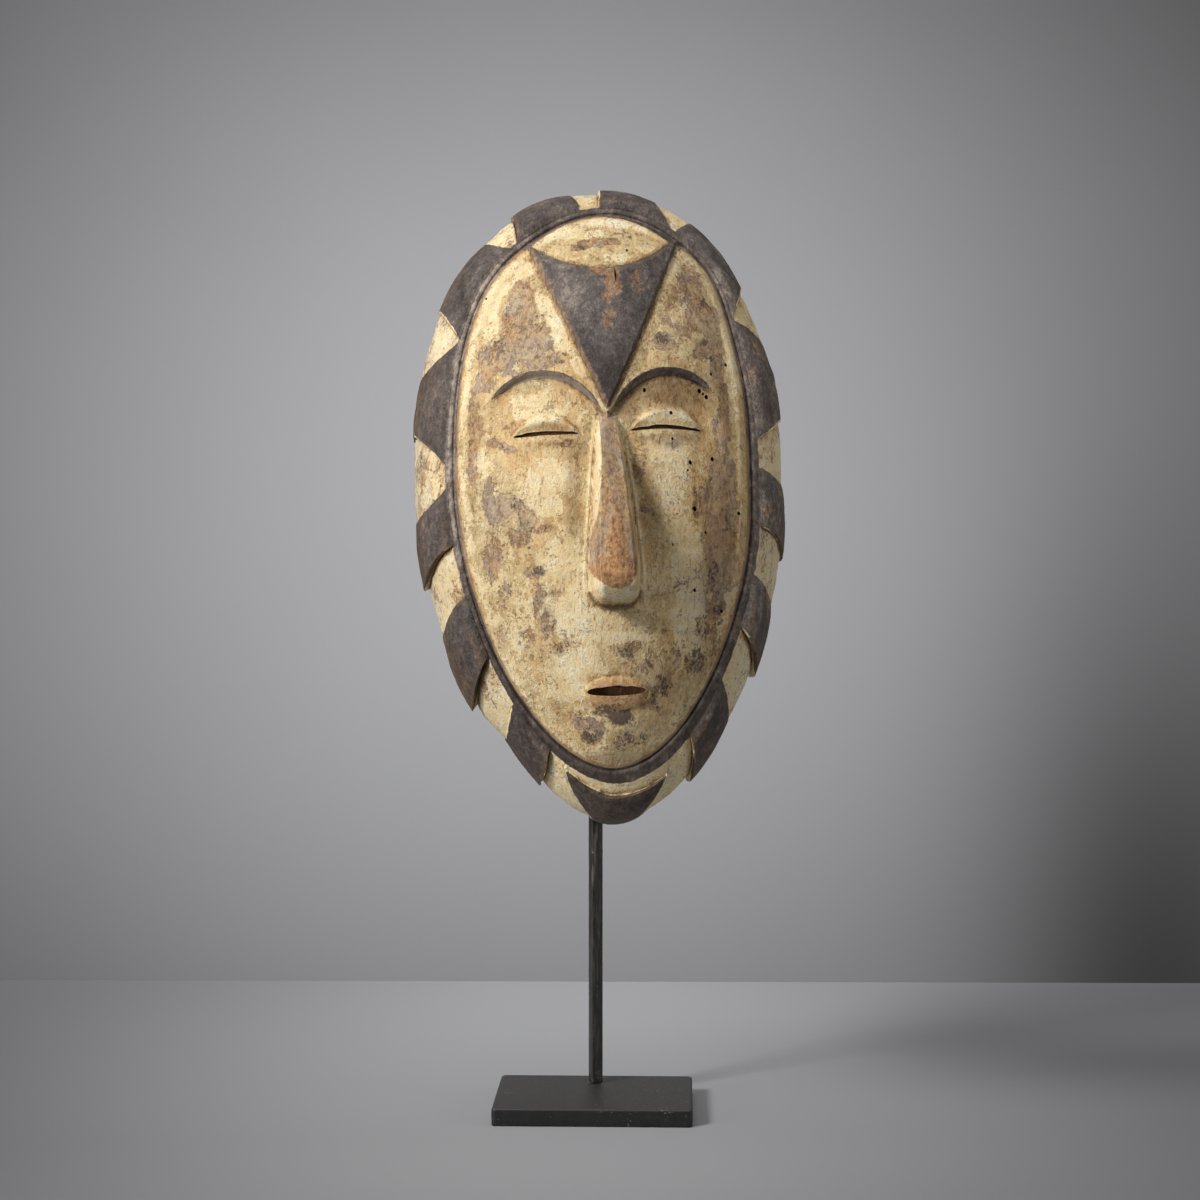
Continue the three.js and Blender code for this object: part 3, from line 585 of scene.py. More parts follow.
def patchStrength(patches, x, z, points, seed):
    wander = patchEdge["reach"] * layeredNoise(points, patchEdge["size"], seed, 4)
    drift = patchEdge["reach"] * layeredNoise(points, patchEdge["size"], seed + 9, 4)
    total = np.zeros_like(x)
    for px, pz, halfWidth, halfHeight, lean, strength in patches:
        angle = math.radians(lean)
        offX, offZ = x - px + wander, z - pz + drift
        across = offX * math.cos(angle) - offZ * math.sin(angle)
        along = offX * math.sin(angle) + offZ * math.cos(angle)
        away = np.hypot(across / halfWidth, along / halfHeight)
        total = np.maximum(total, strength * (1 - ramp(*patchEdge["fade"], away)))
    return total


def borderMarks(local):
    # for each point: millimetres into a dark field or the ring, and how far out of the panel it is
    x, z = local[:, 0], local[:, 2]
    clock, radius = clockOf(x, z), np.hypot(x, z)
    inner, outer = panelRadius(clock), outlineRadius(clock)
    share = (radius - inner) / (outer - inner)
    ringShare = shareAt(clock, ringWidth(clock))
    part = np.clip((share - ringShare) / (1 - ringShare), 0, 1)
    best = np.full(len(x), -9.0)
    for field in borderFields():
        if not field["dark"]:
            continue
        low, high = [edgeClock(edge, part) for edge in field["edges"]]
        off = clockGap(clock, (low + high) / 2)
        inside = ((high - low) / 2 - np.abs(off)) * np.pi / 180 * radius
        if field["start"][0]:
            along = np.clip(0.5 + off / (high - low), 0, 1)
            start = field["start"][0] + (field["start"][1] - field["start"][0]) * along ** 4
            inside = np.minimum(inside, (part - start) * (outer - inner))
        best = np.maximum(best, inside)
    onRing = np.minimum(radius - inner + paintOverlap, inner + ringWidth(clock) + 0.3 - radius)
    onBorder = radius > inner - paintOverlap
    return np.where(onBorder, np.maximum(best, onRing), -9), radius - inner, clock


def carvePanel(shell, clocks):
    # the panel with its relief, tool marks and flaked paint
    x, z, faces, loop = discGrid(carving["acrossCells"], carving["downCells"], clocks, panelRadius,
                                 carving["panelSpread"], 1.0)
    points = np.stack([x, frontDepth(x, z) - carving["inset"], z], 1)
    marks = carving["toolMarks"] * layeredNoise(points * [1, 0.6, 0.6], carving["toolMarkSize"], 11, 3)
    bare = patchStrength(barePatches, x, z, points, 40)
    flake = ramp(0.42, 0.58, 0.5 + 0.5 * layeredNoise(points, 9, 60, 4) + 0.55 * (bare - 0.45))
    calm = ramp(0, 3, panelRadius(clockOf(x, z)) - np.hypot(x, z))
    points[:, 1] += calm * (marks - carving["toolMarks"] * 0.5 - carving["flakeDepth"] * flake)
    return shell.grid(points, faces, loop)


def fieldRow(spokes, part):
    # the border's mesh row at a share of the way out, with its edges and surface a little uneven
    clock = spokeClock(spokes, part)
    angle = np.radians(clock)
    wander = np.stack([30 * np.sin(angle), np.full(len(clock), part * 6), 30 * np.cos(angle)], 1)
    clock = clock + 0.5 * softNoise(wander, 4.0, 5) * min(part * 6, 1)
    start = shareAt(clock, ringWidth(clock))
    share = start + (1 - start) * part
    fieldLift, fieldStart = spokes[:, 7], spokes[:, 8]
    lift = np.where(part < fieldStart, 0, fieldLift) * min(0.08 + part * 5, 1)
    worn = borderPoints(clock, share, lift)
    rough = 0.5 * layeredNoise(worn, 9, 21, 4) - 0.35
    rough += np.where(fieldLift > 0, 0, 0.35 * layeredNoise(worn, 3.5, 31, 2))
    return borderPoints(clock, share, lift - carving["inset"] + rough * min(part * 8, 1))


def carveBorder(shell, rim, spokes, clocks):
    # the ring with its groove, then the fields out to the outline
    for width, sink in carving["ringRows"] + [(ringWidth(clocks) - 0.4, 0.2)]:
        lift = np.full(len(clocks), -sink - carving["inset"])
        rim = shell.ring(rim, borderPoints(clocks, shareAt(clocks, width), lift))
    for part in carving["outParts"]:
        edge = fieldRow(spokes, part)
        rim = shell.ring(rim, edge)
    return rim, edge


def carveSide(shell, rim, edge):
    # down the side wall to the back rim
    for level in carving["wallLevels"]:
        lower = edge * [1, level, 1]
        out = 0.45 * layeredNoise(lower, 8, 22, 4) - 0.45
        radius = np.hypot(lower[:, 0], lower[:, 2])
        shrink = (radius + out - (0.8 if level < 0.1 else 0)) / radius
        lower[:, [0, 2]] *= shrink[:, None]
        rim = shell.ring(rim, lower)
    backEdge = lower * [0.982, 1, 0.982]
    backEdge[:, 1] = 0.25 + 0.2 * softNoise(backEdge, 12, 23)
    return shell.ring(rim, backEdge), clockOf(lower[:, 0], lower[:, 2])


def carveHollow(shell, clocks):
    # the gouged hollow and its lip, facing back
    across, down = carving["hollowAcross"], carving["hollowDown"]
    around = np.arange(2 * (across + down)) / (2 * (across + down))
    evenClocks = np.interp(around, np.arange(len(clocks) + 1) / len(clocks),
                           np.concatenate([clocks, [clocks[0] + 360]]))
    x, z, faces, loop = discGrid(across, down, evenClocks, innerRadius,
                                 carving["hollowSpread"], carving["hollowBend"])
    inside = np.stack([x, hollowDepth(x, z), z], 1)
    strokes = np.abs(layeredNoise(inside * [1, 0.5, 0.35], carving["gougeSize"] * 0.6, 71, 2))
    share = np.clip(np.hypot(x, z) / innerRadius(clockOf(x, z)), 0, 1)
    inside[:, 1] += carving["gouge"] * strokes * (1 - share ** 6) * 2
    rim = shell.grid(inside, faces, loop)
    lip = inside[loop] * [1.012, 1, 1.012]
    lip[:, 1] = 0.3
    return shell.ring(rim, lip), clockOf(lip[:, 0], lip[:, 2])


def carveMask():
    spokes = borderSpokes(2 * (carving["acrossCells"] + carving["downCells"]))
    clocks = spokeClock(spokes, 0)
    shell = Shell()
    rim = carvePanel(shell, clocks)
    rim, edge = carveBorder(shell, rim, spokes, clocks)
    loops = [carveSide(shell, rim, edge), carveHollow(shell, clocks)]
    joined = []
    for loop, loopClocks in loops:
        turned = (loopClocks + carving["seam"]) % 360
        order = np.argsort(turned)
        joined += [loop[order], turned[order]]
    shell.zip(*joined)
    piece = meshPiece("mask_carved", toWorld(np.concatenate(shell.points)), shell.faces)
    faceOutwards(piece)
    return piece


# Cuts through the face, as prisms along the depth

def prism(outlinePoints, deep, front):
    # from a set depth below the face to a place in front of it
    n = len(outlinePoints)
    x, z = np.array(outlinePoints).T
    floor = domeDepth(x, z) - socketDepth(x, z) - deep
    points = list(zip(x, floor, z)) + [(a, front, b) for a, b in outlinePoints]
    faces = [list(range(n)), list(range(2 * n - 1, n - 1, -1))]
    faces += [[i, i + n, (i + 1) % n + n, (i + 1) % n] for i in range(n)]
    return points, faces


def slitOutline(slit, half, height, ragged, seed):
    across = np.linspace(-1, 1, 41)
    x = slit["x"] + across * half
    line = slitLine(slit, x)
    opening = height / 2 * (0.16 + 0.84 * np.sqrt(np.clip(1 - across ** 2, 0, 1)))
    along = np.stack([x, np.zeros_like(x), np.zeros_like(x)], 1)
    top = line + opening + ragged * softNoise(along, 2.2, seed) * (1 - across ** 4)
    bottom = line - opening + 0.3 * ragged * softNoise(along, 4, seed + 1)
    return list(zip(x, top)) + list(zip(x[::-1], bottom[::-1]))


wormHoles = [  # x, z and size on the panel
    (14.9, 114.6, 0.7), (19.0, 40.4, 1.0), (47.2, 40.9, 1.15), (49.0, 39.4, 0.75), (50.6, 37.8, 1.1),
    (31.5, 28.6, 0.9), (31.7, 15.8, 0.75), (40.3, 4.2, 1.05), (51.9, 6.3, 1.05), (40.8, -58, 0.85),
    (41.6, -18.6, 1.15), (38.8, 0.3, 0.6), (53.5, 49.4, 0.75), (62, 55, 0.8), (65, -20, 0.9),
    (30, -36, 0.6), (55, -68, 0.9), (47, -30, 0.7), (-56, 93, 0.6),
]
foreheadCrack = [(7.5, 97.2), (7.9, 96.8), (8.3, 99.6), (8.1, 103.4), (7.6, 103.8), (7.3, 100.2)]


def cutFace(piece):
    cuts = []
    inFront = crownDepth + carving["cutClearance"]
    for seed, eye in enumerate(eyes, 80):
        shape = slitOutline(eye, eye["half"] - 0.5, eyeSlit["height"], 0.3, seed)
        cuts.append(prism(shape, eyeSlit["depth"], inFront))
    shape = slitOutline(mouthSlit, mouthSlit["half"], mouthSlit["height"], 0.4, 90)
    cuts.append(prism(shape, mouthSlit["depth"], inFront))
    for x, z, share in wormHoles:
        radius = carving["wormHoleRadius"] * share
        turns = np.arange(carving["wormHoleSides"]) / carving["wormHoleSides"] * 2 * np.pi
        face = float(frontDepth(np.array([x]), np.array([z]))[0])
        tall = carving["wormHoleTall"] * radius
        shape = [(x + radius * math.cos(t), z + tall * math.sin(t)) for t in turns]
        cuts.append(prism(shape, carving["wormHoleDepth"], face + carving["holeClearance"]))
    cuts.append(prism(foreheadCrack, carving["wormHoleDepth"] * 0.6, inFront))
    points, faces = [], []
    for cutPoints, cutFaces in cuts:
        faces += [[i + len(points) for i in face] for face in cutFaces]
        points += cutPoints
    cutter = meshPiece("cuts", toWorld(points), faces)
    faceOutwards(cutter)
    modifier = piece.modifiers.new("cuts", "BOOLEAN")
    modifier.operation, modifier.solver, modifier.object = "DIFFERENCE", "MANIFOLD", cutter
    seen = piece.evaluated_get(bpy.context.evaluated_depsgraph_get())
    mesh = bpy.data.meshes.new_from_object(seen)
    piece.modifiers.clear()
    old = piece.data
    mesh.materials.clear()
    piece.data = mesh
    mesh.name = piece.name
    bpy.data.meshes.remove(old)
    bpy.data.objects.remove(cutter)
    print("mask cut:", len(mesh.polygons), "faces")


def readRows(items, name, kind=float, width=3):
    values = np.empty(len(items) * width, kind)
    items.foreach_get(name, values)
    return values.reshape(-1, width)


def convexity(mesh, rounds):
    # millimetres that each point stands proud of its surroundings, below zero in a hollow
    count = len(mesh.vertices)
    co = readRows(mesh.vertices, "co") / millimetre
    normals = readRows(mesh.vertex_normals, "vector", np.float32)
    a, b = readRows(mesh.edges, "vertices", np.int64, 2).T
    neighbours = np.bincount(np.concatenate([a, b]), minlength=count)[:, None]
    smooth = co.copy()
    for _ in range(rounds):
        total = np.zeros_like(smooth)
        for axis in range(3):
            total[:, axis] = np.bincount(a, smooth[b, axis], count) + np.bincount(b, smooth[a, axis], count)
        smooth = 0.5 * smooth + 0.5 * total / np.maximum(neighbours, 1)
    return np.einsum("ij,ij->i", co - smooth, normals)


def storeValues(mesh, name, values):
    layer = mesh.attributes.new(name, "FLOAT", "POINT")
    layer.data.foreach_set("value", np.asarray(values, np.float32))


def noseFront(x, z, local):
    # the strip painted down the nose's front: where it is, its violet and its orange
    middle, _, ridge, _ = noseAt(z)
    off = x - middle + 1.2 * layeredNoise(local * [1, 0.3, 0.25], 5, 55, 3)
    low = ramp(-14, -38, z)
    leftLimit = 3.6 + 0.6 * ridge * ramp(20, -20, z) + 4.0 * low
    rightLimit = 0.95 * ridge + 2.0 * low + 0.8
    roundTip = np.sqrt(np.clip(1 - (np.clip(-44 - z, 0, None) / 14.5) ** 2, 0, 1))
    inFront = np.minimum(off + leftLimit * roundTip, rightLimit * roundTip - off)
    onFront = ramp(-0.5, 0.7, inFront) * ramp(31, 27, z) * (z > -60)
    violet = 0.8 * np.exp(-((off + 5.2 * low + 1.6) / (1.9 + 0.8 * low)) ** 2)
    violet = violet * (1 - 0.8 * ramp(-2, -12, z) * ramp(-26, -14, z))
    violet = np.maximum(violet, 0.5 * ramp(2.5, 5.5, off)) * ramp(-57, -44, z)
    orange = np.exp(-((off + 1.6 * low - 1.2) / 3.2) ** 2) * (0.4 + 0.6 * low) + 0.5 * ramp(-38, -52, z)
    orange = onFront * np.clip(0.32 + orange, 0, 1) * (0.6 + 0.4 * low)
    return onFront, violet, orange, np.abs(off / ridge)


def chalkOnPanel(x, z, local, outOfPanel, clock, noseSide, lips):
    # thick paint in patches and on the lips, and paler towards the bottom; painted highlights along the
    # nose's foot, on its lit left flank and on the bead towards the lit left
    middle, base, _, _ = noseAt(z)
    fromFoot = np.abs(x - middle) - base
    besideNose = z > nose["footZ"]
    # a painted highlight along the nose's foot, where its edges catch the light
    foot = np.exp(-((fromFoot - 0.2) / 1.0) ** 2) * (z < 26) * besideNose
    # the lit left flank paler, a painted highlight
    leftFlank = (x < middle) * ramp(0.85, 1.2, noseSide) * (1 - ramp(0, 1.5, fromFoot))
    leftFlank = leftFlank * (z < 24) * besideNose
    # the bead paler towards the lit left, a painted highlight
    beadLine = np.exp(-((-outOfPanel - bead["inside"]) / 2.0) ** 2)
    beadLine = beadLine * (0.2 + 1.0 * layeredNoise(local, 11, 57, 3)) * ramp(60, -20, x) ** 0.5
    beadLine = beadLine * (1 - 0.9 * np.exp(-(clockGap(clock, 170) / 62) ** 4))
    chalkAndPaintedLight = patchStrength(chalkPatches, x, z, local, 47)
    chalkAndPaintedLight = np.maximum(chalkAndPaintedLight, np.maximum(foot, np.clip(beadLine, 0, 1)))
    chalkAndPaintedLight = np.maximum(chalkAndPaintedLight, leftFlank * (0.45 + 0.6 * layeredNoise(local, 6, 56, 3)))
    return np.maximum(chalkAndPaintedLight, 0.66 * lips) + 0.22 * ramp(-25, -60, z) * (1 - lips)


def rimMarks(x, z, local):
    # the border's pale fields: how bare, how chalky and how warm they are. Barer on the lit left and
    # chalkier on the shaded right and low down: painted shade and painted light that even out the lighting
    # barer towards the lit left, painted shade
    bare = 0.32 + 0.34 * layeredNoise(local, 13, 58, 3) + 0.12 * ramp(-20, -60, x)
    bare = bare + 0.12 * ramp(-40, -70, x) * np.exp(-((z - 5) / 30) ** 2)
    bare = bare - 0.12 * ramp(-90, -115, z) * (x < 0)
    # chalkier towards the shaded right and the bottom, painted light
    chalkAndPaintedLight = 0.5 + 0.3 * layeredNoise(local, 12, 59, 3) + 0.3 * ramp(0, 60, x) + 0.15 * ramp(-20, -80, z)
    chalkAndPaintedLight = chalkAndPaintedLight + 0.3 * ramp(20, 60, x) * np.exp(-((z + 42) / 28) ** 2)
    chalkAndPaintedLight = chalkAndPaintedLight + 0.15 * ramp(-60, -90, z) * (x < 0)
    warm = ramp(25, 60, x) * (0.34 + 0.5 * layeredNoise(local, 9, 61, 3))
    return np.clip(bare, 0, 1), np.clip(chalkAndPaintedLight, 0, 1), np.clip(warm, 0, 1)


def darkFadeAndPaintedLight(x, z, onPanel, outOfPanel, clock, onBrow):
    # where the dark paint is lighter, or darker below zero: the brow bands paler, the left one most, a
    # painted sheen; the ring's left and the triangle's upper left paler, a painted sheen, and the triangle
    # darker in its lower part; the dark border fields paler on the shaded right, painted light, and darker
    # at the bottom and on the far left
    width = ringWidth(clock)
    # the ring paler on the left, a painted sheen where it catches the light
    ringLeft = 0.38 * ramp(-25, -60, x) * ramp(-75, -20, z) * (1 - onPanel)
    ringLeft = ringLeft * ramp(width + 1, width, outOfPanel)
    inTriangle = onPanel * (z > triangle["tipZ"]) * (1 - ramp(-0.5, 1, browInside(x, z)))
    # the triangle paler at its upper left, a painted sheen
    upperLeft, lower = 0.22 * ramp(12, -16, x) * ramp(60, 84, z), 0.2 * ramp(66, 50, z)
    # the dark border fields paler on the shaded right, painted light
    onRim = 0.14 * ramp(40, 60, x) - 0.16 * ramp(-60, -110, z) - 0.05 * ramp(-40, -70, x)
    return np.maximum(onBrow, ringLeft) + inTriangle * (upperLeft - lower) + (1 - onPanel) * onRim


def markMask(piece):
    # stores what the paint depends on at each point, and which faces are bare wood
    mesh = piece.data
    local = toLocal(readRows(mesh.vertices, "co"))
    x, depth, z = local.T
    fieldInside, outOfPanel, clock = borderMarks(local)
    onPanel = outOfPanel < -paintOverlap
    panelOnly = np.where(onPanel, 1.0, 0.0)
    overLens = np.where(z > 112, lens["topZ"] - lens["sag"] * ((x - lens["x"]) / lens["half"]) ** 2 - z, 9)
    overLens = np.where(np.abs(x - lens["x"]) < lens["half"] + 3, -overLens, -9)
    dark = np.maximum(np.maximum(triangleInside(x, z) - 0.2, browInside(x, z)), overLens)
    storeValues(mesh, "darkPaint", np.clip(np.where(onPanel, dark, fieldInside), -4, 4))

    middle, base, _, _ = noseAt(z)
    nearFoot = np.exp(-((np.abs(x - middle) - base - 0.6) / 2.2) ** 2) * (z < 28) * (z > nose["footZ"])
    lips = ramp(0.08, 0.35, lipsRound(x, z)) * onPanel
    smoothed = np.where(onPanel, 1 - 0.85 * nearFoot, 1) * (1 - 0.8 * lips)
    storeValues(mesh, "proud", convexity(mesh, 10) * smoothed)

    onFront, violet, orange, noseSide = noseFront(x, z, local)
    # the brow bands paler, most on the left brow, where the extra is a painted sheen
    onBrow = ramp(-0.6, 0.4, browInside(x, z)) * onPanel * (0.26 + 0.4 * ramp(4, -4, x))
    bareAndShadeRim, chalkAndLightRim, warmRim = rimMarks(x, z, local)
    ochre = np.maximum(patchStrength(ochrePatches, x, z, local, 50) * (1 - onFront), orange)
    ochre = np.maximum(ochre, 1.1 * lips * ramp(19, 13, np.abs(x - mouth["x"])))
    storeValues(mesh, "ochre", np.where(onPanel, ochre, warmRim))
    storeValues(mesh, "violet", np.clip(violet, 0, 1) * onFront * panelOnly)
    bare = patchStrength(barePatches, x, z, local, 40) * (1 - 0.14 * ramp(-25, -60, z))
    bare = np.maximum(bare * (1 - onFront), 0.8 * onFront)
    storeValues(mesh, "bare", np.where(onPanel, bare, bareAndShadeRim))
    smear = patchStrength(smearPatches, x, z, local, 45)
    storeValues(mesh, "smear", smear * panelOnly * (1 - 0.7 * onFront))
    storeValues(mesh, "shade", patchStrength(shadePatches, x, z, local, 48) * panelOnly)
    chalkAndPaintedLight = chalkOnPanel(x, z, local, outOfPanel, clock, noseSide, lips)
    storeValues(mesh, "chalkAndPaintedLight", np.where(onPanel, chalkAndPaintedLight, chalkAndLightRim))

    storeValues(mesh, "fromPanel", np.clip(outOfPanel, -8, 8))
    onRing = np.minimum(outOfPanel + 0.3, ringWidth(clock) + 0.2 - outOfPanel)
    storeValues(mesh, "ringInside", np.clip(onRing, -4, 4))
    triangleMiddle, half = triangleAt(z)
    fromLeft = np.clip((x - triangleMiddle + half) * triangle["sideSlant"], -6, 6)
    storeValues(mesh, "triangleEdge", np.where(onPanel & (z > triangle["tipZ"]), fromLeft, -6))
    storeValues(mesh, "fadeAndPaintedLight", darkFadeAndPaintedLight(x, z, onPanel, outOfPanel, clock, onBrow))

    # the bare wood in the slits is lighter than in the hollow
    underPanel, beforeHollow = frontDepth(x, z) - depth, depth - hollowDepth(x, z)
    storeValues(mesh, "slit", ramp(1.2, 3.0, underPanel) * ramp(2.4, 3.6, beforeHollow) * panelOnly)
    cx, cd, cz = toLocal(readRows(mesh.polygons, "center")).T
    clock, radius = clockOf(cx, cz), np.hypot(cx, cz)
    behind = (radius < innerRadius(clock) + 1.5) & (cd < hollowDepth(cx, cz) + 2.2)
    underFace = (radius < panelRadius(clock)) & (cd < frontDepth(cx, cz) - 1.6)
    unpainted = behind | (cd < 0.8) | underFace
    mesh.polygons.foreach_set("material_index", unpainted.astype(np.int32))


# The stand

def roundedOutline(width, depth, corner, steps):
    points = []
    for k, (sx, sy) in enumerate([(1, 1), (-1, 1), (-1, -1), (1, -1)]):
        for i in range(steps + 1):
            angle = math.radians(90 * k + 90 * i / steps)
            points.append((sx * (width / 2 - corner) + corner * math.cos(angle),
                           sy * (depth / 2 - corner) + corner * math.sin(angle)))
    return np.array(points)


def densified(loop, longest):
    rows = []
    for a, b in zip(loop, np.roll(loop, -1, 0)):
        n = max(1, int(math.ceil(np.hypot(*(b - a)) / longest)))
        rows += [a + (b - a) * i / n for i in range(n)]
    return np.array(rows)


def atHeight(loop, height):
    return np.column_stack([loop, np.full(len(loop), height)])


def standingPiece(name, rings, low, high, turned):
    # closed at both ends, from rings of points in millimetres, over the middle of a solid's box
    shell = Shell()
    first = rim = shell.add(rings[0])
    for points in rings[1:]:
        rim = shell.ring(rim, points)
    shell.faces += [first.tolist(), rim[::-1].tolist()]
    rotation = np.array(Matrix.Rotation(math.radians(turned), 3, "Z"))
    foot = [(low.x + high.x) / 2, (low.y + high.y) / 2, low.z]
    points = np.concatenate(shell.points) @ rotation.T * millimetre + foot
    piece = meshPiece(name, points, shell.faces, smoothBelow=40)
    faceOutwards(piece)
    return piece, points[:, 2]


rodShape = {
    "side": 6.0, "corner": 0.55, "turned": 22.8,
    "bevel": 0.6, "endShare": 0.86,  # how far the bevel reaches, and the share of the width it leaves
    "inset": 0.1, "unevenness": 0.012,  # narrower than the solid, for the uneven paint
    "rows": 190, "cell": 1.6,
}


def makeRod():
    low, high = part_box("rod")
    side, bevel = rodShape["side"] - rodShape["inset"], rodShape["bevel"]
    loop = densified(roundedOutline(side, side, rodShape["corner"], 4), rodShape["cell"])
    length = (high.z - low.z) / millimetre
    rings = [atHeight(loop * rodShape["endShare"], 0)]
    rings += [atHeight(loop, height) for height in np.linspace(bevel, length - bevel, rodShape["rows"])]
    rings += [atHeight(loop * rodShape["endShare"], length)]
    for points in rings:
        narrower = rodShape["unevenness"] * (1 + layeredNoise(points, 7, 101, 3))
        points[:, :2] *= 1 - narrower[:, None]
    return standingPiece("rod_painted", rings, low, high, rodShape["turned"])[0]


plateShape = {
    "corner": 2.0, "edge": 1.1,  # the rounded corners and the broken edge
    "chipDepth": 0.6, "chipReach": 1.6,
    "inset": 0.1, "unevenness": 0.05,  # narrower than the solid, for the uneven paint
    "cell": 1.0, "sideRows": 7, "topShares": (0.97, 0.9, 0.8, 0.6, 0.35, 0.12),
    "topLightAndDust": (1.2, 0.4),  # the paler top, dust with painted light from above, lies from this far below the top face
}


def makePlate():
    low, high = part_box("base_plate")
    width, depth, thick = [(b - a) / millimetre for a, b in zip(low, high)]
    edge, inset, uneven = plateShape["edge"], plateShape["inset"], plateShape["unevenness"]
    loop = roundedOutline(width - inset, depth - inset, plateShape["corner"], 6)
    loop = densified(loop, plateShape["cell"])
    # how far in and how high each row of the side lies
    profile = [(edge * 0.35, 0), (0.12, edge * 0.35), (0, edge * 0.8)]
    profile += [(0, h) for h in np.linspace(2, thick - 2, plateShape["sideRows"])]
    profile += [(0, thick - edge), (0.1, thick - edge * 0.6), (0.35 * edge, thick - edge * 0.22)]
    profile += [(edge * 0.8, thick)]
    half = np.array([width / 2, depth / 2])
    rings = []
    for inwards, height in profile:
        points = atHeight(loop * (1 - inwards / half), height)
        nearEdge = 1 - ramp(0, plateShape["chipReach"], min(height, thick - height))
        chips = ramp(0.35, 0.75, layeredNoise(points, 5, 130, 3)) * plateShape["chipDepth"] * nearEdge
        lost = chips + uneven * (1 + softNoise(points, 6, 133))
        points[:, :2] -= np.sign(points[:, :2]) * lost[:, None]
        points[:, 2] -= 0.4 * chips * (height > thick / 2)
        rings.append(points)
    for share in plateShape["topShares"]:
        points = atHeight(loop * (1 - edge * 0.8 / half) * share, thick)
        points[:, 2] -= uneven * (1 + layeredNoise(points, 9, 140, 3))
        rings.append(points)
    plate, heights = standingPiece("plate_painted", rings, low, high, 0)
    # the top face paler: dust, and painted light from above
    lightAndDustFrom, lightAndDustTo = [high.z - below * millimetre for below in plateShape["topLightAndDust"]]
    storeValues(plate.data, "dustAndTopLight", ramp(lightAndDustFrom, lightAndDustTo, heights))
    return plate


# Nodes

def giveInputs(tree, node, inputs):
    for name, value in inputs.items():
        if isinstance(value, bpy.types.NodeSocket):
            tree.links.new(value, node.inputs[name])
        else:
            node.inputs[name].default_value = value


def addNode(tree, kind, inputs=None, **settings):
    node = tree.nodes.new(kind)
    for name, value in settings.items():
        setattr(node, name, value)
    giveInputs(tree, node, inputs or {})
    return node


def mathNode(tree, operation, a, b=0.5, clamp=False):
    node = addNode(tree, "ShaderNodeMath", {0: a, 1: b}, operation=operation, use_clamp=clamp)
    return node.outputs[0]


def plus(tree, a, b, clamp=False):
    return mathNode(tree, "ADD", a, b, clamp)


def minus(tree, a, b, clamp=False):
    return mathNode(tree, "SUBTRACT", a, b, clamp)


def times(tree, a, b, clamp=False):
    return mathNode(tree, "MULTIPLY", a, b, clamp)


def weighted(tree, parts):
    total = None
    for value, weight in parts:
        part = times(tree, value, weight)
        total = part if total is None else plus(tree, total, part)
    return total


def mapValue(tree, value, low, high, toLow=0.0, toHigh=1.0):
    limits = {"From Min": low, "From Max": high, "To Min": toLow, "To Max": toHigh}
    return addNode(tree, "ShaderNodeMapRange", {"Value": value, **limits}).outputs[0]


def vectorMath(tree, operation, a, b):
    return addNode(tree, "ShaderNodeVectorMath", {0: a, 1: b}, operation=operation).outputs[0]


def objectPosition(tree):
    return addNode(tree, "ShaderNodeTexCoord").outputs["Object"]


def mixColours(tree, mask, a, b, blend="MIX"):
    node = addNode(tree, "ShaderNodeMix", {0: mask, 6: a, 7: b}, data_type="RGBA", blend_type=blend)
    return node.outputs[2]


def colour(red, green, blue):
    # an 8 bit screen colour as linear light
    parts = [v / 255 for v in (red, green, blue)]
    return tuple(v / 12.92 if v <= 0.04045 else ((v + 0.055) / 1.055) ** 2.4 for v in parts) + (1.0,)


def stretched(tree, across, along):
    # object coordinates, with the length stretched or squeezed
    return vectorMath(tree, "MULTIPLY", objectPosition(tree), (across, across, along))


def noiseValue(tree, vector, scale, detail=4.0, roughness=0.6, distortion=0.0):
    look = {"Scale": scale, "Detail": detail, "Roughness": roughness, "Distortion": distortion}
    return addNode(tree, "ShaderNodeTexNoise", {"Vector": vector, **look}).outputs["Fac"]


def newGroup(name, inputs, outputs):
    group = bpy.data.node_groups.new(name, "ShaderNodeTree")
    for label, value in inputs.items():
        entry = group.interface.new_socket(label, in_out="INPUT", socket_type="NodeSocketFloat")
        entry.default_value = value
    for label, kind in outputs.items():
        group.interface.new_socket(label, in_out="OUTPUT", socket_type=kind)
    return group, group.nodes.new("NodeGroupInput").outputs, group.nodes.new("NodeGroupOutput").inputs


def useGroup(tree, group, **inputs):
    node = addNode(tree, "ShaderNodeGroup", node_tree=group)
    giveInputs(tree, node, inputs)
    return node.outputs


def flakesGroup():
    # crisp ragged islands: Amount 0 gives none, 1 covers all. Edge follows their outline
    inputs = {"Scale": 60, "Fine": 260, "Amount": 0.5, "Softness": 0.02, "Along": 1.0}
    group, given, result = newGroup("flakes", inputs, {"Mask": "NodeSocketFloat", "Edge": "NodeSocketFloat"})
    squeeze = addNode(group, "ShaderNodeCombineXYZ", {0: 1.0, 1: 1.0, 2: given["Along"]}).outputs[0]
    vector = vectorMath(group, "MULTIPLY", objectPosition(group), squeeze)
    broad = noiseValue(group, vector, given["Scale"], 5.0, 0.68, 0.4)
    fine = noiseValue(group, vector, given["Fine"], 3.0, 0.7, 0.2)
    level = weighted(group, [(broad, 0.58), (fine, 0.42)])
    level = minus(group, plus(group, level, times(group, given["Amount"], 0.32)), 0.16)
    low, high = minus(group, 0.5, given["Softness"]), plus(group, 0.5, given["Softness"])
    group.links.new(mapValue(group, level, low, high), result["Mask"])
    off = mathNode(group, "ABSOLUTE", minus(group, level, 0.497))
    group.links.new(mapValue(group, off, 0.012, 0.002), result["Edge"])
    return group


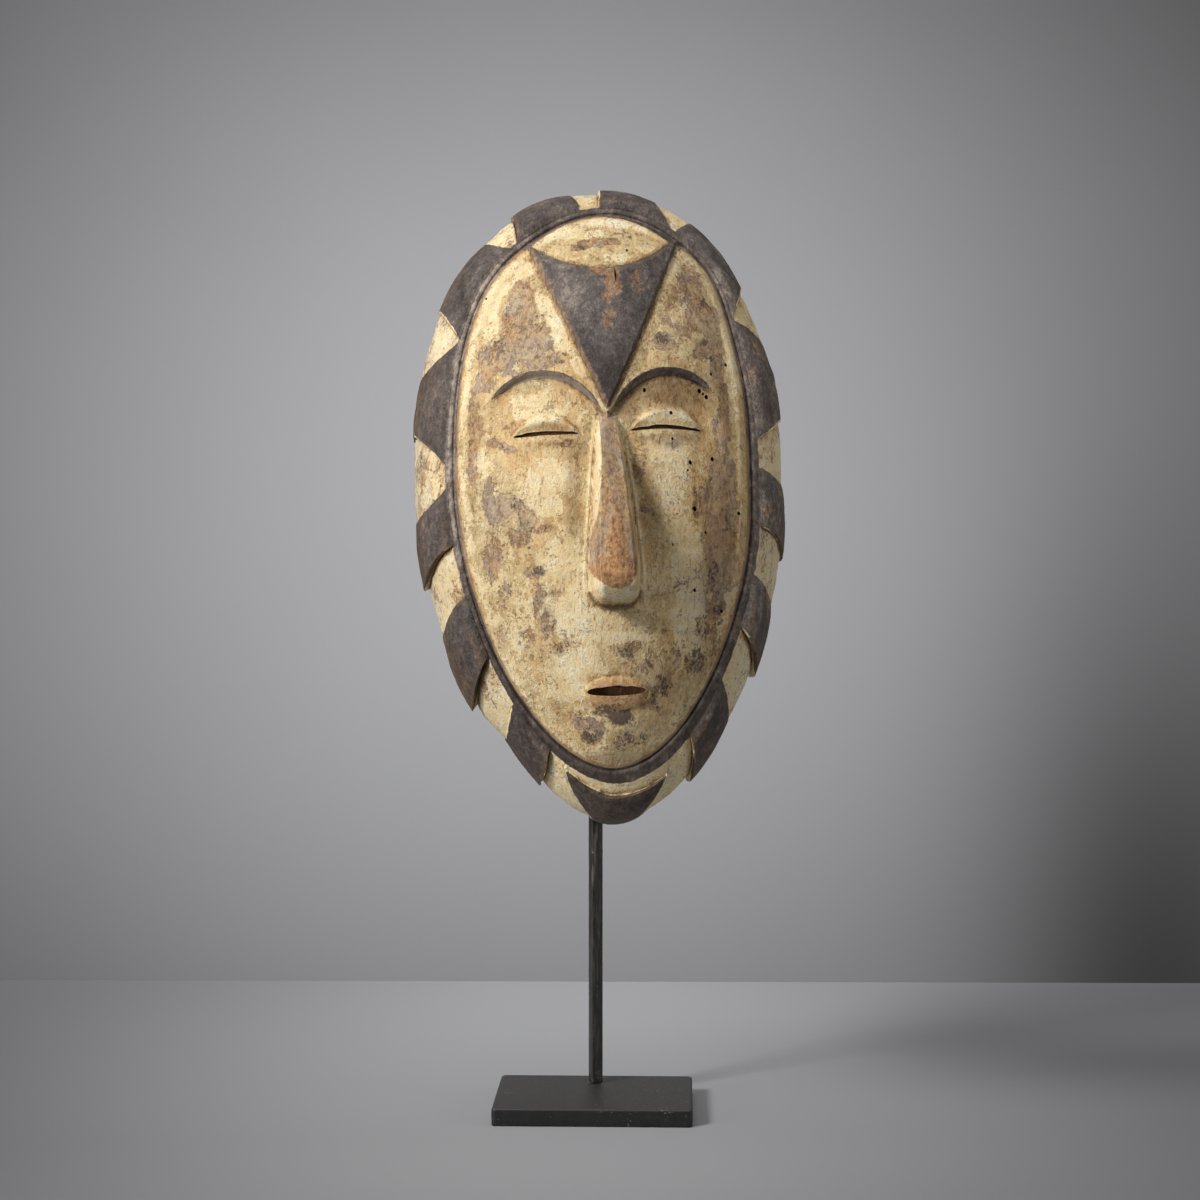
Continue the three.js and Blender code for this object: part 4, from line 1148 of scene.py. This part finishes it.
def specksGroup():
    # small dark dots and squiggles, thicker in some places than in others
    inputs = {"Scale": 420, "Amount": 0.5}
    group, given, result = newGroup("specks", inputs, {"Mask": "NodeSocketFloat"})
    position = objectPosition(group)
    fine = noiseValue(group, position, given["Scale"], 3.0, 0.6, 0.5)
    broad = noiseValue(group, position, 60.0, 3.0, 0.6)
    level = plus(group, fine, times(group, broad, 0.6))
    level = plus(group, level, times(group, given["Amount"], 0.22))
    group.links.new(mapValue(group, level, 1.03, 1.09), result["Mask"])
    return group


def grainGroup():
    # long streaks down the wood and broader blotches
    outputs = {"Streaks": "NodeSocketFloat", "Blotches": "NodeSocketFloat"}
    group, given, result = newGroup("woodGrain", {"Scale": 1.0}, outputs)
    vector = stretched(group, 1.0, 0.14)
    fine = noiseValue(group, vector, times(group, given["Scale"], 560.0), 3.0, 0.65, 0.3)
    broad = noiseValue(group, vector, times(group, given["Scale"], 110.0), 3.0, 0.6, 0.6)
    mixed = weighted(group, [(fine, 0.55), (broad, 0.45)])
    group.links.new(mapValue(group, mixed, 0.38, 0.62), result["Streaks"])
    blotches = noiseValue(group, stretched(group, 1.0, 0.5), 60.0, 5.0, 0.66, 0.5)
    group.links.new(mapValue(group, blotches, 0.38, 0.62), result["Blotches"])
    return group


def scratchesGroup():
    # thin short lines in two directions
    inputs = {"Scale": 1.0, "Amount": 0.5}
    group, given, result = newGroup("scratches", inputs, {"Mask": "NodeSocketFloat"})
    position = objectPosition(group)
    found = None
    for angle, across in ((0.5, 900.0), (-0.35, 700.0)):
        turned = addNode(group, "ShaderNodeVectorRotate", {"Vector": position, "Angle": angle},
                         rotation_type="Y_AXIS").outputs[0]
        line = vectorMath(group, "MULTIPLY", turned, (across, across, 60.0))
        value = mapValue(group, noiseValue(group, line, given["Scale"], 2.0, 0.5), 0.64, 0.74)
        found = value if found is None else mathNode(group, "MAXIMUM", found, value)
    group.links.new(times(group, found, given["Amount"], clamp=True), result["Mask"])
    return group


flakes, specks, grain, scratches = flakesGroup(), specksGroup(), grainGroup(), scratchesGroup()


def newMaterial(name):
    material = bpy.data.materials.new(name)
    material.use_nodes = True
    tree = material.node_tree
    shader = tree.nodes["Principled BSDF"]
    return material, tree, shader


def attributeValue(tree, name):
    node = addNode(tree, "ShaderNodeAttribute", attribute_name=name, attribute_type="GEOMETRY")
    return node.outputs["Fac"]


def addBump(tree, shader, height, strength, metres):
    inputs = {"Strength": strength, "Distance": metres, "Height": height}
    tree.links.new(addNode(tree, "ShaderNodeBump", inputs).outputs[0], shader.inputs["Normal"])


def paintTones(tree, value, name):
    node = addNode(tree, "ShaderNodeValToRGB", {"Fac": value})
    elements = node.color_ramp.elements
    while len(elements) < len(paint[name]):
        elements.new(0.5)
    for element, (at, tone) in zip(elements, paint[name].items()):
        element.position, element.color = at, colour(*tone)
    return node.outputs["Color"]


# Screen colours, as one flat colour or from the darkest to the palest tone
paint = {
    "topCoat": {0: (206, 172, 120), 0.35: (234, 206, 154), 0.7: (246, 226, 180), 1: (254, 244, 214)},
    "underWarm": {0: (146, 108, 68), 0.35: (206, 168, 114), 0.7: (234, 202, 148), 1: (246, 222, 174)},
    "underGrey": {0: (130, 108, 78), 0.35: (192, 166, 120), 0.7: (224, 200, 152), 1: (242, 226, 184)},
    "woodWarm": {0: (104, 74, 50), 0.35: (162, 122, 88), 0.65: (200, 160, 122), 1: (224, 190, 152)},
    "woodGrey": {0: (96, 79, 70), 0.35: (144, 123, 110), 0.65: (178, 155, 140), 1: (214, 192, 172)},
    "ochre": {0: (112, 74, 48), 0.4: (166, 120, 78), 0.75: (204, 154, 104), 1: (236, 198, 144)},
    "violet": {0: (120, 98, 84), 0.5: (162, 138, 118), 1: (208, 186, 158)},
    "dark": {0: (42, 35, 32), 0.35: (74, 66, 62), 0.7: (104, 94, 88), 1: (150, 136, 122)},
    "ring": {0: (50, 42, 38), 0.4: (92, 80, 72), 0.7: (128, 114, 104), 1: (186, 170, 156)},
    "worn": {0: (66, 50, 40), 0.5: (114, 91, 70), 1: (166, 138, 108)},
    "edge": {0: (84, 62, 46), 0.5: (140, 110, 82), 1: (196, 162, 124)},
    "crackAndEdgeShadow": (84, 64, 48), "speck": (104, 70, 42), "groove": (58, 40, 28), "smear": (86, 74, 66),
    "shadeGlaze": (166, 155, 148), "streakAndEdgeShadow": (128, 102, 78), "ringLine": (140, 100, 66),
}


def maskPaint():
    material, tree, shader = newMaterial("mask_paint")
    proud, bare, chalkAndPaintedLight, fadeAndPaintedLight = [attributeValue(tree, name) for name in ("proud", "bare", "chalkAndPaintedLight", "fadeAndPaintedLight")]
    marks = useGroup(tree, grain)
    position = objectPosition(tree)
    broad = noiseValue(tree, stretched(tree, 1.0, 0.7), 34.0, 6.0, 0.68, 0.4)
    middle = noiseValue(tree, position, 170.0, 4.0, 0.72, 0.3)
    grit = noiseValue(tree, position, 900.0, 3.0, 0.8)
    mottle = noiseValue(tree, stretched(tree, 1.0, 0.7), 420.0, 3.0, 0.74, 0.3)
    washes = mapValue(tree, noiseValue(tree, stretched(tree, 1.0, 0.5), 26.0, 4.0, 0.6, 0.8), 0.42, 0.58)
    runs = noiseValue(tree, stretched(tree, 1.0, 0.28), 100.0, 5.0, 0.7, 0.5)
    # how far a point lies in a hollow, for painted shade
    hollowed = mapValue(tree, plus(tree, proud, times(tree, middle, 0.3)), 0.12, -0.6)
    mottled = mapValue(tree, mottle, 0.36, 0.64)

    # a dirty tan undercoat, warm in places and grey in others; paler on ridges, a painted highlight, and
    # darker in hollows, painted shade with grime
    tone = weighted(tree, [(broad, 0.14), (middle, 0.2), (runs, 0.2), (mottle, 0.3), (grit, 0.16)])
    tone = mapValue(tree, tone, 0.41, 0.59)
    tone = plus(tree, tone, weighted(tree, [(chalkAndPaintedLight, 0.25), (proud, 0.3), (hollowed, -0.35)]), clamp=True)
    pale = mixColours(tree, washes, paintTones(tree, tone, "underWarm"), paintTones(tree, tone, "underGrey"))

    # over it a brighter chalky coat that has come off in crisp flakes
    # more coat on ridges and less in hollows, painted highlight and painted shade
    coatGiven = weighted(tree, [(chalkAndPaintedLight, 0.75), (proud, 0.25), (hollowed, -0.5), (bare, -0.35)])
    coat = useGroup(tree, flakes, Scale=95.0, Fine=430.0, Amount=plus(tree, coatGiven, 0.38),
                    Softness=0.012, Along=0.7)
    pale = mixColours(tree, times(tree, coat["Mask"], 0.78), pale, paintTones(tree, tone, "topCoat"))
    # a dark line along the coat's flake edges, a painted shadow of the paint's thickness
    coatRims = times(tree, coat["Edge"], mapValue(tree, grit, 0.42, 0.58, 0.0, 0.65))
    pale = mixColours(tree, coatRims, pale, colour(*paint["streakAndEdgeShadow"]))

    # thin paint fades into the wood, thick paint flakes off it and leaves small islands
    woodTone = weighted(tree, [(marks["Streaks"], 0.3), (marks["Blotches"], 0.3), (mottled, 0.4)])
    wood = mixColours(tree, mapValue(tree, runs, 0.43, 0.56), paintTones(tree, woodTone, "woodWarm"),
                      paintTones(tree, woodTone, "woodGrey"))
    level = plus(tree, times(tree, bare, 0.45), weighted(tree, [(broad, 0.9), (middle, 0.6)]))
    pale = mixColours(tree, mapValue(tree, level, 0.88, 1.16, 0.0, 0.6), pale, wood)
    given = minus(tree, bare, times(tree, chalkAndPaintedLight, 0.5))
    lost = useGroup(tree, flakes, Scale=70.0, Fine=360.0, Softness=0.008, Along=0.75,
                    Amount=mapValue(tree, given, -0.5, 1.0, -0.45, 1.15))
    chips = useGroup(tree, flakes, Scale=230.0, Fine=820.0, Softness=0.012, Along=0.6,
                     Amount=mapValue(tree, given, -0.2, 0.6, -0.4, 0.62))
    gone = mathNode(tree, "ABSOLUTE", minus(tree, lost["Mask"], times(tree, chips["Mask"], 0.8)))
    pale = mixColours(tree, times(tree, gone, 0.85), pale, wood)
    # a dark line along the lost flakes' edges: cracks with a painted shadow of the paint's thickness
    rims = times(tree, lost["Edge"], mapValue(tree, middle, 0.4, 0.58, 0.0, 0.8))
    pale = mixColours(tree, rims, pale, colour(*paint["crackAndEdgeShadow"]))
    lines = mapValue(tree, noiseValue(tree, stretched(tree, 1.0, 0.12), 640.0, 3.0, 0.62, 0.4), 0.58, 0.7)
    lines = times(tree, lines, mapValue(tree, broad, 0.42, 0.6, 0.15, 0.75))
    pale = mixColours(tree, lines, pale, colour(*paint["streakAndEdgeShadow"]))

    # grey-violet and orange-brown on the nose and lips
    violet = mapValue(tree, middle, 0.38, 0.58, 0.2, 1.0)
    violet = times(tree, attributeValue(tree, "violet"), violet, clamp=True)
    pale = mixColours(tree, violet, pale, paintTones(tree, woodTone, "violet"))
    ochreGiven = mapValue(tree, attributeValue(tree, "ochre"), 0.0, 1.0, -0.45, 1.15)
    ochreMask = useGroup(tree, flakes, Scale=120.0, Fine=480.0, Amount=ochreGiven,
                         Softness=0.04, Along=0.5)["Mask"]
    ochreTone = weighted(tree, [(marks["Streaks"], 0.35), (mottled, 0.65), (chalkAndPaintedLight, 0.3)])
    pale = mixColours(tree, times(tree, ochreMask, 0.85), pale, paintTones(tree, ochreTone, "ochre"))

    # dark remains, a brown wash that is partly grime and partly painted shade, dots and pits
    smearGiven = mapValue(tree, attributeValue(tree, "smear"), 0.0, 1.0, -0.35, 1.1)
    smears = useGroup(tree, flakes, Scale=230.0, Fine=840.0, Amount=smearGiven,
                      Softness=0.03, Along=0.8)["Mask"]
    pale = mixColours(tree, times(tree, smears, 0.85), pale, colour(*paint["smear"]))
    # painted shade, with some grime: a darker brown wash multiplied in where the shade patches lie
    shadeAndDirt = times(tree, attributeValue(tree, "shade"), mapValue(tree, broad, 0.35, 0.6, 0.6, 1.0), clamp=True)
    pale = mixColours(tree, shadeAndDirt, pale, colour(*paint["shadeGlaze"]), "MULTIPLY")
    dots = useGroup(tree, specks, Scale=680.0, Amount=mapValue(tree, middle, 0.4, 0.6, 0.1, 0.8))["Mask"]
    pale = mixColours(tree, times(tree, dots, 0.55), pale, colour(*paint["speck"]))
    pits = mapValue(tree, weighted(tree, [(mottle, 0.6), (grit, 0.4)]), 0.51, 0.6, 0.0, 0.36)
    pale = mixColours(tree, pits, pale, colour(*paint["streakAndEdgeShadow"]))

    # a worn brown line along the panel's edge
    fromPanel = plus(tree, attributeValue(tree, "fromPanel"), times(tree, middle, 3.0))
    lineMask = times(tree, mapValue(tree, fromPanel, -0.6, 0.4), mapValue(tree, fromPanel, 2.6, 2.0))
    pale = mixColours(tree, times(tree, lineMask, 0.75), pale, colour(*paint["ringLine"]))

    # the dark paint, rubbed brown where it stands proud
    wavering = minus(tree, middle, 0.5)
    ragged = plus(tree, attributeValue(tree, "darkPaint"), times(tree, wavering, 2.6))
    darkMask = mapValue(tree, ragged, -0.1, 0.1)
    darkTone = weighted(tree, [(broad, 0.08), (middle, 0.14), (runs, 0.3), (mottle, 0.26), (grit, 0.22)])
    darkTone = mapValue(tree, darkTone, 0.395, 0.625)
    scratchMask = useGroup(tree, scratches, Scale=1.0, Amount=0.5)["Mask"]
    lighter = weighted(tree, [(scratchMask, 0.4), (chalkAndPaintedLight, 0.12), (fadeAndPaintedLight, 1.0)])
    dark = paintTones(tree, plus(tree, darkTone, lighter, clamp=True), "dark")
    rubbed = mapValue(tree, plus(tree, proud, times(tree, middle, 0.6)), 0.5, 0.85, 0.0, 0.6)
    rubbed = mathNode(tree, "MAXIMUM", rubbed, mapValue(tree, ragged, 0.7, 0.0, 0.0, 0.5))
    rubbed = mathNode(tree, "MAXIMUM", rubbed, times(tree, gone, 0.32))
    dark = mixColours(tree, rubbed, dark, paintTones(tree, woodTone, "worn"))
    dark = mixColours(tree, times(tree, ochreMask, 0.46), dark, paintTones(tree, ochreTone, "ochre"))

    # the ring, brushed thinner and paler on its proud parts and on the left, a painted sheen; the triangle's
    # worn left edge; and darker brown in the grooves and hollows, painted shade
    ringTone = weighted(tree, [(runs, 1.3), (middle, 0.7), (mottle, 1.4), (proud, 0.5), (fadeAndPaintedLight, 1.0)])
    ringTone = minus(tree, ringTone, 1.3, clamp=True)
    ringMask = mapValue(tree, attributeValue(tree, "ringInside"), -0.3, 0.5, 0.0, 0.85)
    dark = mixColours(tree, ringMask, dark, paintTones(tree, ringTone, "ring"))
    edge = plus(tree, attributeValue(tree, "triangleEdge"), times(tree, wavering, 9.0))
    edgeMask = times(tree, mapValue(tree, edge, -0.6, -0.1), mapValue(tree, edge, 3.0, 1.4, 0.0, 0.7))
    dark = mixColours(tree, edgeMask, dark, paintTones(tree, ochreTone, "edge"))
    # darker brown in the grooves and hollows of the dark paint, painted shade
    deep = minus(tree, mapValue(tree, proud, -0.2, -0.7, 0.0, 0.75), fadeAndPaintedLight, clamp=True)
    dark = mixColours(tree, deep, dark, colour(*paint["groove"]))
    tree.links.new(mixColours(tree, darkMask, pale, dark), shader.inputs["Base Color"])

    # chalky paint is matt, dark paint has a dull shine
    rough = mapValue(tree, darkMask, 0.0, 1.0, 0.84, 0.5)
    tree.links.new(plus(tree, rough, times(tree, middle, 0.14)), shader.inputs["Roughness"])
    shader.inputs["Specular IOR Level"].default_value = 0.35
    left = minus(tree, 1.0, mathNode(tree, "MAXIMUM", gone, darkMask))
    height = weighted(tree, [(left, 0.3), (coat["Mask"], 0.15), (middle, 0.4), (mottle, 0.6), (grit, 0.5),
                             (lines, -0.12), (dots, -0.05)])
    addBump(tree, shader, height, 0.9, 0.0011)
    return material


bareWood = {
    "dark": (52, 36, 25), "light": (112, 82, 56), "blotch": (76, 54, 37), "stain": (42, 30, 23),
    "dust": (150, 124, 92), "slit": (156, 112, 76),
}
metal = {"topLightAndDust": (58, 56, 54), "chip": (112, 98, 86), "dust": (150, 144, 136)}
rodPaint = {"base": (34, 34, 32), "rubbed": (92, 86, 78), "roughness": 0.42, "along": 0.1,
            "fineness": 800.0, "chipped": 0.2}
platePaint = {"base": (15, 14, 15), "rubbed": (33, 31, 29), "roughness": 0.5, "along": 1.0,
              "fineness": 260.0, "chipped": 0.1}


def maskWood():
    material, tree, shader = newMaterial("mask_bare_wood")
    marks = useGroup(tree, grain, Scale=0.7)
    stains = useGroup(tree, flakes, Scale=28.0, Fine=120.0, Amount=0.3, Softness=0.1, Along=0.5)["Mask"]
    dust = useGroup(tree, specks, Scale=300.0, Amount=0.2)["Mask"]
    tone = mixColours(tree, marks["Streaks"], colour(*bareWood["dark"]), colour(*bareWood["light"]))
    layers = [(marks["Blotches"], 0.6, "blotch"), (stains, 0.5, "stain"), (dust, 0.4, "dust"),
              (attributeValue(tree, "slit"), 0.9, "slit")]
    for mask, strength, name in layers:
        tone = mixColours(tree, times(tree, mask, strength), tone, colour(*bareWood[name]))
    tree.links.new(tone, shader.inputs["Base Color"])
    tree.links.new(mapValue(tree, marks["Streaks"], 0.0, 1.0, 0.62, 0.85), shader.inputs["Roughness"])
    addBump(tree, shader, marks["Streaks"], 0.8, 0.0008)
    return material


def blackMetal(name, look):
    # painted steel: brushed paint, rubbed streaks, dust and small chips, and a paler top face, dust with
    # painted light from above
    material, tree, shader = newMaterial(name)
    streaks = noiseValue(tree, stretched(tree, 1.0, look["along"]), look["fineness"], 5.0, 0.6, 0.3)
    chips = useGroup(tree, flakes, Scale=130.0, Fine=500.0, Amount=look["chipped"], Softness=0.01,
                     Along=look["along"])["Mask"]
    dust = useGroup(tree, specks, Scale=700.0, Amount=0.25)["Mask"]
    tone = mixColours(tree, mapValue(tree, streaks, 0.45, 0.7, 0.0, 0.6), colour(*look["base"]),
                      colour(*look["rubbed"]))
    layers = [(attributeValue(tree, "dustAndTopLight"), 0.9, "topLightAndDust"), (chips, 0.6, "chip"), (dust, 0.4, "dust")]
    for mask, strength, layer in layers:
        tone = mixColours(tree, times(tree, mask, strength), tone, colour(*metal[layer]))
    tree.links.new(tone, shader.inputs["Base Color"])
    grit = noiseValue(tree, objectPosition(tree), 1100.0, 4.0, 0.6)
    rough = mapValue(tree, grit, 0.3, 0.7, look["roughness"] - 0.08, look["roughness"] + 0.1)
    tree.links.new(rough, shader.inputs["Roughness"])
    addBump(tree, shader, minus(tree, times(tree, grit, 0.4), times(tree, chips, 0.5)), 0.5, 0.0003)
    return material


# The studio

view = {"lens": 75.0, "sensor": 36.0, "at": (0.0426, -1.2638, 0.3032), "down": 1.97, "left": 1.8}
studio = {
    "floorBack": 0.348, "floorSkew": 0.029, "floorSide": 1.6, "floorFront": -2.6, "floorThick": 0.03,
    "wallRadius": 3.0, "wallFoot": -0.9, "wallTop": 2.6, "wallSides": 96,
    "roomGrey": (150, 150, 152), "ambient": 0.2,
    "keyFrom": (-1.3, -1.25, 1.25), "keyRadius": 0.24, "keyPower": 152.0, "keyCone": 38,
    "aim": (0, 0, 0.28),
}
# the floor's painted pool of light, with a painted soft shadow of the mask round shadeCentre
floorPool = {
    "tones": ((102, 102, 104), (166, 166, 168)),
    "centre": (-0.013, 0.047, 0.0), "spread": (0.266, 0.461, 1.0),
    "shadeCentre": (0.264, 0.128, 0.0), "shadeSpread": (0.139, 0.082, 1.0), "shade": 0.38,
}
# the backdrop's painted pool of light, with a painted soft shadow of the mask low on the right
wallPool = {
    "tones": ((2, 2, 2), (167, 167, 169)),
    "centre": (-0.167, 3.0, -0.021), "spread": (1.235, 9.0, 1.253),
    "shadeCentre": (0.828, 3.0, -0.552), "shadeSpread": (0.258, 9.0, 0.735), "shade": 0.687,
    "plainFrom": 2.5,  # metres back: nearer than this the room is plain grey
}
discLights = {  # from, size, power and aim
    "side": ((1.9, -0.5, 0.5), 0.9, 7.0, studio["aim"]),
    "top": ((0.0, -0.3, 2.3), 1.8, 14.0, studio["aim"]),
    "low": ((-1.3, -1.05, 0.26), 0.5, 7.0, studio["aim"]),
    "wallLight": ((-0.2, 0.9, 1.7), 1.2, 75.0, (-0.35, 3.0, 0.5)),
}


def poolFall(tree, position, centre, spread):
    scaled = vectorMath(tree, "DIVIDE", vectorMath(tree, "SUBTRACT", position, centre), spread)
    square = addNode(tree, "ShaderNodeVectorMath", {0: scaled, 1: scaled}, operation="DOT_PRODUCT")
    return mathNode(tree, "EXPONENT", times(tree, square.outputs["Value"], -1.0))


def poolMaterial(name, pool):
    # grey that darkens away from a point, a painted pool of light, and darkens round a second point, a
    # painted soft shadow of the mask
    material, tree, shader = newMaterial(name)
    position = objectPosition(tree)
    cloud = minus(tree, noiseValue(tree, position, 1.4, 3.0, 0.5), 0.5)
    fall = poolFall(tree, position, pool["centre"], pool["spread"])
    fall = plus(tree, fall, times(tree, cloud, 0.06), clamp=True)
    tone = mixColours(tree, fall, *[colour(*tone) for tone in pool["tones"]])
    if "plainFrom" in pool:
        back = addNode(tree, "ShaderNodeSeparateXYZ", {0: position}).outputs["Y"]
        nearer = mapValue(tree, back, pool["plainFrom"], pool["plainFrom"] - 1)
        tone = mixColours(tree, nearer, tone, colour(*studio["roomGrey"]))
    # a painted soft shadow
    shaded = times(tree, poolFall(tree, position, pool["shadeCentre"], pool["shadeSpread"]), pool["shade"])
    tree.links.new(mixColours(tree, shaded, tone, (0.0, 0.0, 0.0, 1.0)), shader.inputs["Base Color"])
    shader.inputs["Roughness"].default_value = 0.9
    shader.inputs["Specular IOR Level"].default_value = 0.1
    return material


def makeStudio():
    side, back, front = studio["floorSide"], studio["floorBack"], studio["floorFront"]
    skew = studio["floorSkew"]
    corners = [(-side, front), (side, front), (side, back + skew), (-side, back - skew)]
    points = np.array([(a, b, h) for h in (0, -studio["floorThick"]) for a, b in corners])
    faces = [[0, 1, 2, 3], [7, 6, 5, 4], [0, 4, 5, 1], [1, 5, 6, 2], [2, 6, 7, 3], [3, 7, 4, 0]]
    floor = meshPiece("floor", points, faces)
    floor.data.materials.append(poolMaterial("floor_grey_painted_light", floorPool))
    n, radius = studio["wallSides"], studio["wallRadius"]
    turns = np.arange(n) / n * 2 * np.pi
    loops = [np.column_stack([radius * np.cos(turns), radius * np.sin(turns), np.full(n, h)])
             for h in (studio["wallFoot"], studio["wallTop"])]
    faces = [[(i + 1) % n, i, i + n, (i + 1) % n + n] for i in range(n)]
    wall = meshPiece("backdrop", np.concatenate(loops), faces, 60)
    wall.data.materials.append(poolMaterial("backdrop_grey_painted_light", wallPool))


def placedLight(name, kind, position, power, aim):
    data = bpy.data.lights.new(name, kind)
    data.energy = power
    light = bpy.data.objects.new(name, data)
    light.location = position
    light.rotation_euler = (Vector(aim) - light.location).to_track_quat("-Z", "Y").to_euler()
    bpy.context.scene.collection.objects.link(light)
    return data


def makeCamera():
    data = bpy.data.cameras.new("camera")
    data.lens, data.sensor_width = view["lens"], view["sensor"]
    camera = bpy.data.objects.new("camera", data)
    camera.location = view["at"]
    camera.rotation_euler = (math.radians(90 - view["down"]), 0, math.radians(view["left"]))
    bpy.context.scene.collection.objects.link(camera)
    bpy.context.scene.camera = camera


def makeLight():
    world = bpy.data.worlds.new("studio")
    world.use_nodes = True
    level = studio["ambient"]
    world.node_tree.nodes["Background"].inputs["Color"].default_value = (level, level, level * 1.01, 1)
    bpy.context.scene.world = world
    key = placedLight("key", "SPOT", studio["keyFrom"], studio["keyPower"], studio["aim"])
    key.shadow_soft_size, key.spot_blend = studio["keyRadius"], 1.0
    key.spot_size = math.radians(studio["keyCone"])
    for name, (position, size, power, aim) in discLights.items():
        light = placedLight(name, "AREA", position, power, aim)
        light.shape, light.size = "DISK", size
    bpy.context.scene.view_settings.view_transform = "Standard"


makeCamera()
makeStudio()
makeLight()
print("studio ready")

mask = carveMask()
cutFace(mask)
markMask(mask)
mask.data.materials.append(maskPaint())
mask.data.materials.append(maskWood())
mask.data.shade_smooth()
mask.data.set_sharp_from_angle(angle=math.radians(50))
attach(mask, "root")
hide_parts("mask")
print("mask carved:", len(mask.data.polygons), "faces")

rod = makeRod()
rod.data.materials.append(blackMetal("rod_paint", rodPaint))
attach(rod, "root")
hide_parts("rod")

plate = makePlate()
plate.data.materials.append(blackMetal("plate_paint", platePaint))
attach(plate, "root")
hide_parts("base_plate")
print("stand made")
